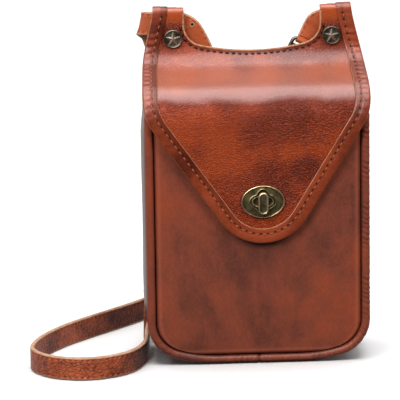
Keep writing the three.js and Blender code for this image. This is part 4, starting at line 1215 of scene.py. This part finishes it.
# A quarter of the strap's section, with its groove: share of the half width, share of the half thickness
STRAP_QUARTER = [(0.0, 0.97), (0.3, 0.97), (0.55, 0.965), (0.7, 0.955), (0.755, 0.86), (0.8, 0.95),
                 (0.88, 0.93), (0.95, 0.8), (0.985, 0.55), (1.0, 0.25)]
# Among these, painted shade in the groove's dark dashes, and the bag's painted shade beside and behind the
# strap.
STRAP_LOOK = Sizes(rim=0.9, groove=0.76, groove_width=0.06, margin=0.8, margin_width=0.06, crease=0.09,
                   crease_end=0.74, dash=3.2, thread_dark=0.6, beside_dark=0.97, behind_dark=0.6,
                   darkest=0.97, margin_rub=0.3, thread_rub=0.35)
# The bag's shade on the strap: from x on, and over how far it grows; then its limits
BESIDE_BAG = Sizes(x=-72, over=9, front_y=-42, back_y=28, top_z=12)
BEHIND_BAG = Sizes(x=-95, over=45, front_y=20, top_z=20)


def strap_section():
    """The strap's section, from the middle of its outer face round the upper edge."""
    right = STRAP_QUARTER + [(a, -b) for a, b in reversed(STRAP_QUARTER)]
    left = [(-a, b) for a, b in reversed(right[1:-1])]
    return np.array(right + left) * [STRAP.width / 2, STRAP.thickness / 2]


def strap():
    middle, across, outward = strap_frame()
    half = STRAP.thickness / 2
    section = strap_section()
    wide, deep = section.T
    share = np.abs(wide) / (STRAP.width / 2)
    run = run_lengths(middle)[:, None]
    crease = STRAP_LOOK.crease * waves(run, wide * 1.7, 17, 0.9) * (share < STRAP_LOOK.crease_end)
    thick = deep * (0.97 + 0.03 * waves(run, 0.0, 60, 2.2)) + crease * np.sign(deep)
    lift = np.clip(thick, -half, half)[..., None] * outward[:, None]
    points = middle[:, None] + wide[:, None] * across[:, None] + lift
    faces, columns = tube_faces(len(middle), len(section))
    rim = (share + np.roll(share, -1)) / 2 > STRAP_LOOK.rim
    piece = add_piece("strap_leather_band", points.reshape(-1, 3), faces, [strap_leather, strap_edge],
                      ["strap"], face_materials=rim[columns])
    x, y, z = (middle[:, k:k + 1] for k in range(3))
    beside = (y > BESIDE_BAG.front_y) & (y < BESIDE_BAG.back_y) & (z < BESIDE_BAG.top_z)
    beside_bag = clamp((x - BESIDE_BAG.x) / BESIDE_BAG.over) * beside
    behind = (y > BEHIND_BAG.front_y) & (z < BEHIND_BAG.top_z)
    behind_bag = clamp((x - BEHIND_BAG.x) / BEHIND_BAG.over) * behind
    groove = np.exp(-((share - STRAP_LOOK.groove) / STRAP_LOOK.groove_width) ** 2)
    margin = clamp((share - STRAP_LOOK.margin) / STRAP_LOOK.margin_width)
    dash = 0.5 + 0.5 * np.sin(TURN * run / STRAP_LOOK.dash)
    # Painted shade in the groove's dark dashes and where the bag shades the strap; the strap is lighter
    # towards its edges and in the dashes between.
    thread = STRAP_LOOK.thread_dark * groove * (1 - dash)
    shade = thread + STRAP_LOOK.beside_dark * beside_bag + STRAP_LOOK.behind_dark * behind_bag
    set_points(piece, "shade", np.clip(shade, 0, STRAP_LOOK.darkest))
    worn = STRAP_LOOK.margin_rub * margin * (0.6 + 0.4 * waves(run, wide, 9, 1.7))
    set_points(piece, "rub", worn + STRAP_LOOK.thread_rub * groove * dash)
    return piece, middle, run[-1, 0]


def strap_turn():
    """The strap's end turned round the buckle's upper bar."""
    middle, across, outward = (values[0] for values in strap_frame())
    bar = BUCKLE.length / 2 - BUCKLE.bar / 2
    aside, rise = bar * math.cos(BUCKLE.turn), bar * math.sin(BUCKLE.turn)
    centre = np.array([BUCKLE.x + aside, BUCKLE.y, BUCKLE.z + rise])
    down = unit(centre - middle)
    ply, gap, apart, half_share = 1.2, 0.15, 0.1, 0.46
    angle = np.linspace(0, math.pi, 15)[:, None]

    def wrap(radius, end):
        bend = centre + radius * (np.cos(angle) * outward + np.sin(angle) * down)
        return np.vstack([middle + end * outward, bend, middle - end * outward])

    inner = BUCKLE.bar / 2 + gap
    outline = np.vstack([wrap(inner + ply, STRAP.thickness / 2), wrap(inner, apart)[::-1]])
    reach = half_share * STRAP.width * across
    faces, _ = tube_faces(2, len(outline))
    points = np.vstack([outline - reach, outline + reach])
    return add_piece("strap_turn", points, faces, [strap_leather], smooth=False)


def strap_hole():
    """A punched hole on the strap's shown face, nearest to its place seen from the front as x and z: a pale
    ring round a dark disc of painted shade.
    """
    middle, across, outward = strap_frame()
    x, z = STRAP.hole_at
    i = int(np.argmin(np.linalg.norm(middle[:, [0, 2]] - (x, z), axis=1)))
    off = (np.array([x, middle[i, 1], z]) - middle[i]) @ unit(across[i] * [1, 0, 1])
    face = outward[i] if outward[i, 1] < 0 else -outward[i]
    along = np.cross(across[i], face)
    sides = 20
    angle = round_angles(sides)[:, None]
    points = []
    for radius, lift in STRAP.holes:
        centre = middle[i] + off * across[i] + (STRAP.thickness / 2 + lift) * face
        points.append(centre + radius * (np.cos(angle) * across[i] + np.sin(angle) * along))
    faces = [tuple(range(sides)), tuple(range(sides, 2 * sides))]
    return add_piece("strap_hole", np.vstack(points), faces, [strap_edge, hole_shade],
                     face_materials=[0, 1])


# Stage

def studio_world():
    """White to the camera; to the bag, a pale backdrop behind it and a dim room in front."""
    world = bpy.data.worlds.new("studio")
    bpy.context.scene.world = world
    world.use_nodes = True
    nodes = Nodes(world.node_tree)
    way = nodes.add("ShaderNodeTexCoord").outputs["Generated"]
    split = nodes.add("ShaderNodeSeparateXYZ", {"Vector": way}).outputs
    back = nodes.plus(split["Y"], nodes.times(nodes.math("ABSOLUTE", split["X"]), 0.6))
    glow = nodes.mapped(back, 0.1, 0.62, 0.0, 0.8, "SMOOTHSTEP")
    seen = nodes.add("ShaderNodeLightPath").outputs["Is Camera Ray"]
    background = world.node_tree.nodes["Background"].inputs
    nodes.fill(background, {"Color": (1, 1, 1, 1), "Strength": nodes.mapped(seen, glow, 1.3)})


def area_light(name, place, aim, size, watts, glossy=True, diffuse=True):
    """A soft light; place, aim and size are in metres."""
    light = bpy.data.lights.new(name, "AREA")
    light.shape = "RECTANGLE"
    light.size, light.size_y = size
    light.energy = watts
    lamp = bpy.data.objects.new(name, light)
    lamp.location = place
    lamp.rotation_mode = "QUATERNION"
    lamp.rotation_quaternion = (Vector(aim) - Vector(place)).to_track_quat("-Z", "Y")
    lamp.visible_glossy = glossy
    lamp.visible_diffuse = diffuse
    bpy.context.scene.collection.objects.link(lamp)
    return lamp


def light_group(name, piece, state):
    """What a light shines on: the piece alone, or all but the piece."""
    group = bpy.data.collections.new(name)
    group.objects.link(piece)
    for member in group.collection_objects:
        member.light_linking.link_state = state
    return group


def floor_and_light():
    bpy.ops.mesh.primitive_plane_add(size=8, location=(0, 0, 0))
    ground = bpy.context.object
    ground.name = "floor"
    shader = {"Base Color": (0.92, 0.92, 0.92, 1), "Roughness": 0.9, "Specular IOR Level": 0.0}
    ground.data.materials.append(new_material("floor_white", shader)[0])
    ground.visible_glossy = False
    ground.visible_diffuse = False
    studio_world()
    area_light("overhead", (0.0, -0.2, 1.1), (0, -0.2, 0), (1.0, 1.15), 29, diffuse=False)
    area_light("ceiling", (0.0, 1.0, 3.5), (0, 1.0, 0), (6, 6), 130, glossy=False)
    left = area_light("front_left", (-0.8, -1.2, 1.1), (0, 0, 0.1), (0.7, 0.7), 26)
    right = area_light("front_right", (0.8, -1.2, 1.1), (0, 0, 0.1), (0.6, 0.6), 16, glossy=False)
    above = area_light("floor_above", (0.0, -0.3, 2.0), (0, 0, 0), (1.2, 1.2), 33, glossy=False)
    left.light_linking.receiver_collection = light_group("not_floor", ground, "EXCLUDE")
    right.light_linking.receiver_collection = left.light_linking.receiver_collection
    above.light_linking.receiver_collection = light_group("floor_alone", ground, "INCLUDE")


def photo_camera():
    """The photo's view: azimuth, elevation and roll in degrees, and the picture's scale."""
    azimuth, elevation, roll = (math.radians(v) for v in (-2.6, 15.0, -0.85))
    distance, scale, pixels, sensor = 2000.0, 0.54, 400, 36
    target = np.array([0.0, -18.0, 0.0])
    target_pixel = (259.5, 362.3)
    back = np.array([math.sin(azimuth) * math.cos(elevation), -math.cos(azimuth) * math.cos(elevation),
                     math.sin(elevation)])
    level = np.array([math.cos(azimuth), math.sin(azimuth), 0.0])
    upright = np.cross(back, level)
    right = level * math.cos(roll) + upright * math.sin(roll)
    up = upright * math.cos(roll) - level * math.sin(roll)
    aside, raised = (target_pixel[0] - pixels / 2) * scale, (pixels / 2 - target_pixel[1]) * scale
    eye = target - right * aside - up * raised + back * distance
    lens = bpy.data.cameras.new("photo_view")
    lens.sensor_width = sensor
    lens.lens = sensor * distance / (scale * pixels)
    lens.clip_end = 100
    camera = bpy.data.objects.new("photo_view", lens)
    camera.matrix_world = Matrix([*np.column_stack([right, up, back, eye * MM]).tolist(), (0, 0, 0, 1)])
    bpy.context.scene.collection.objects.link(camera)
    bpy.context.scene.camera = camera


photo_camera()
strap_piece, strap_line, strap_length = strap()
buckle_piece = buckle()
front_panel()
front_piping()
gusset()
back_panel()
flap()
flap_border()
stitching()
edge_bead()
lock()
star_rivet("left_rivet_metal", -1, "left_rivet")
star_rivet("right_rivet_metal", 1, "right_rivet")
strap_turn()
strap_hole()
floor_and_light()
bpy.context.scene.view_settings.view_transform = "Standard"
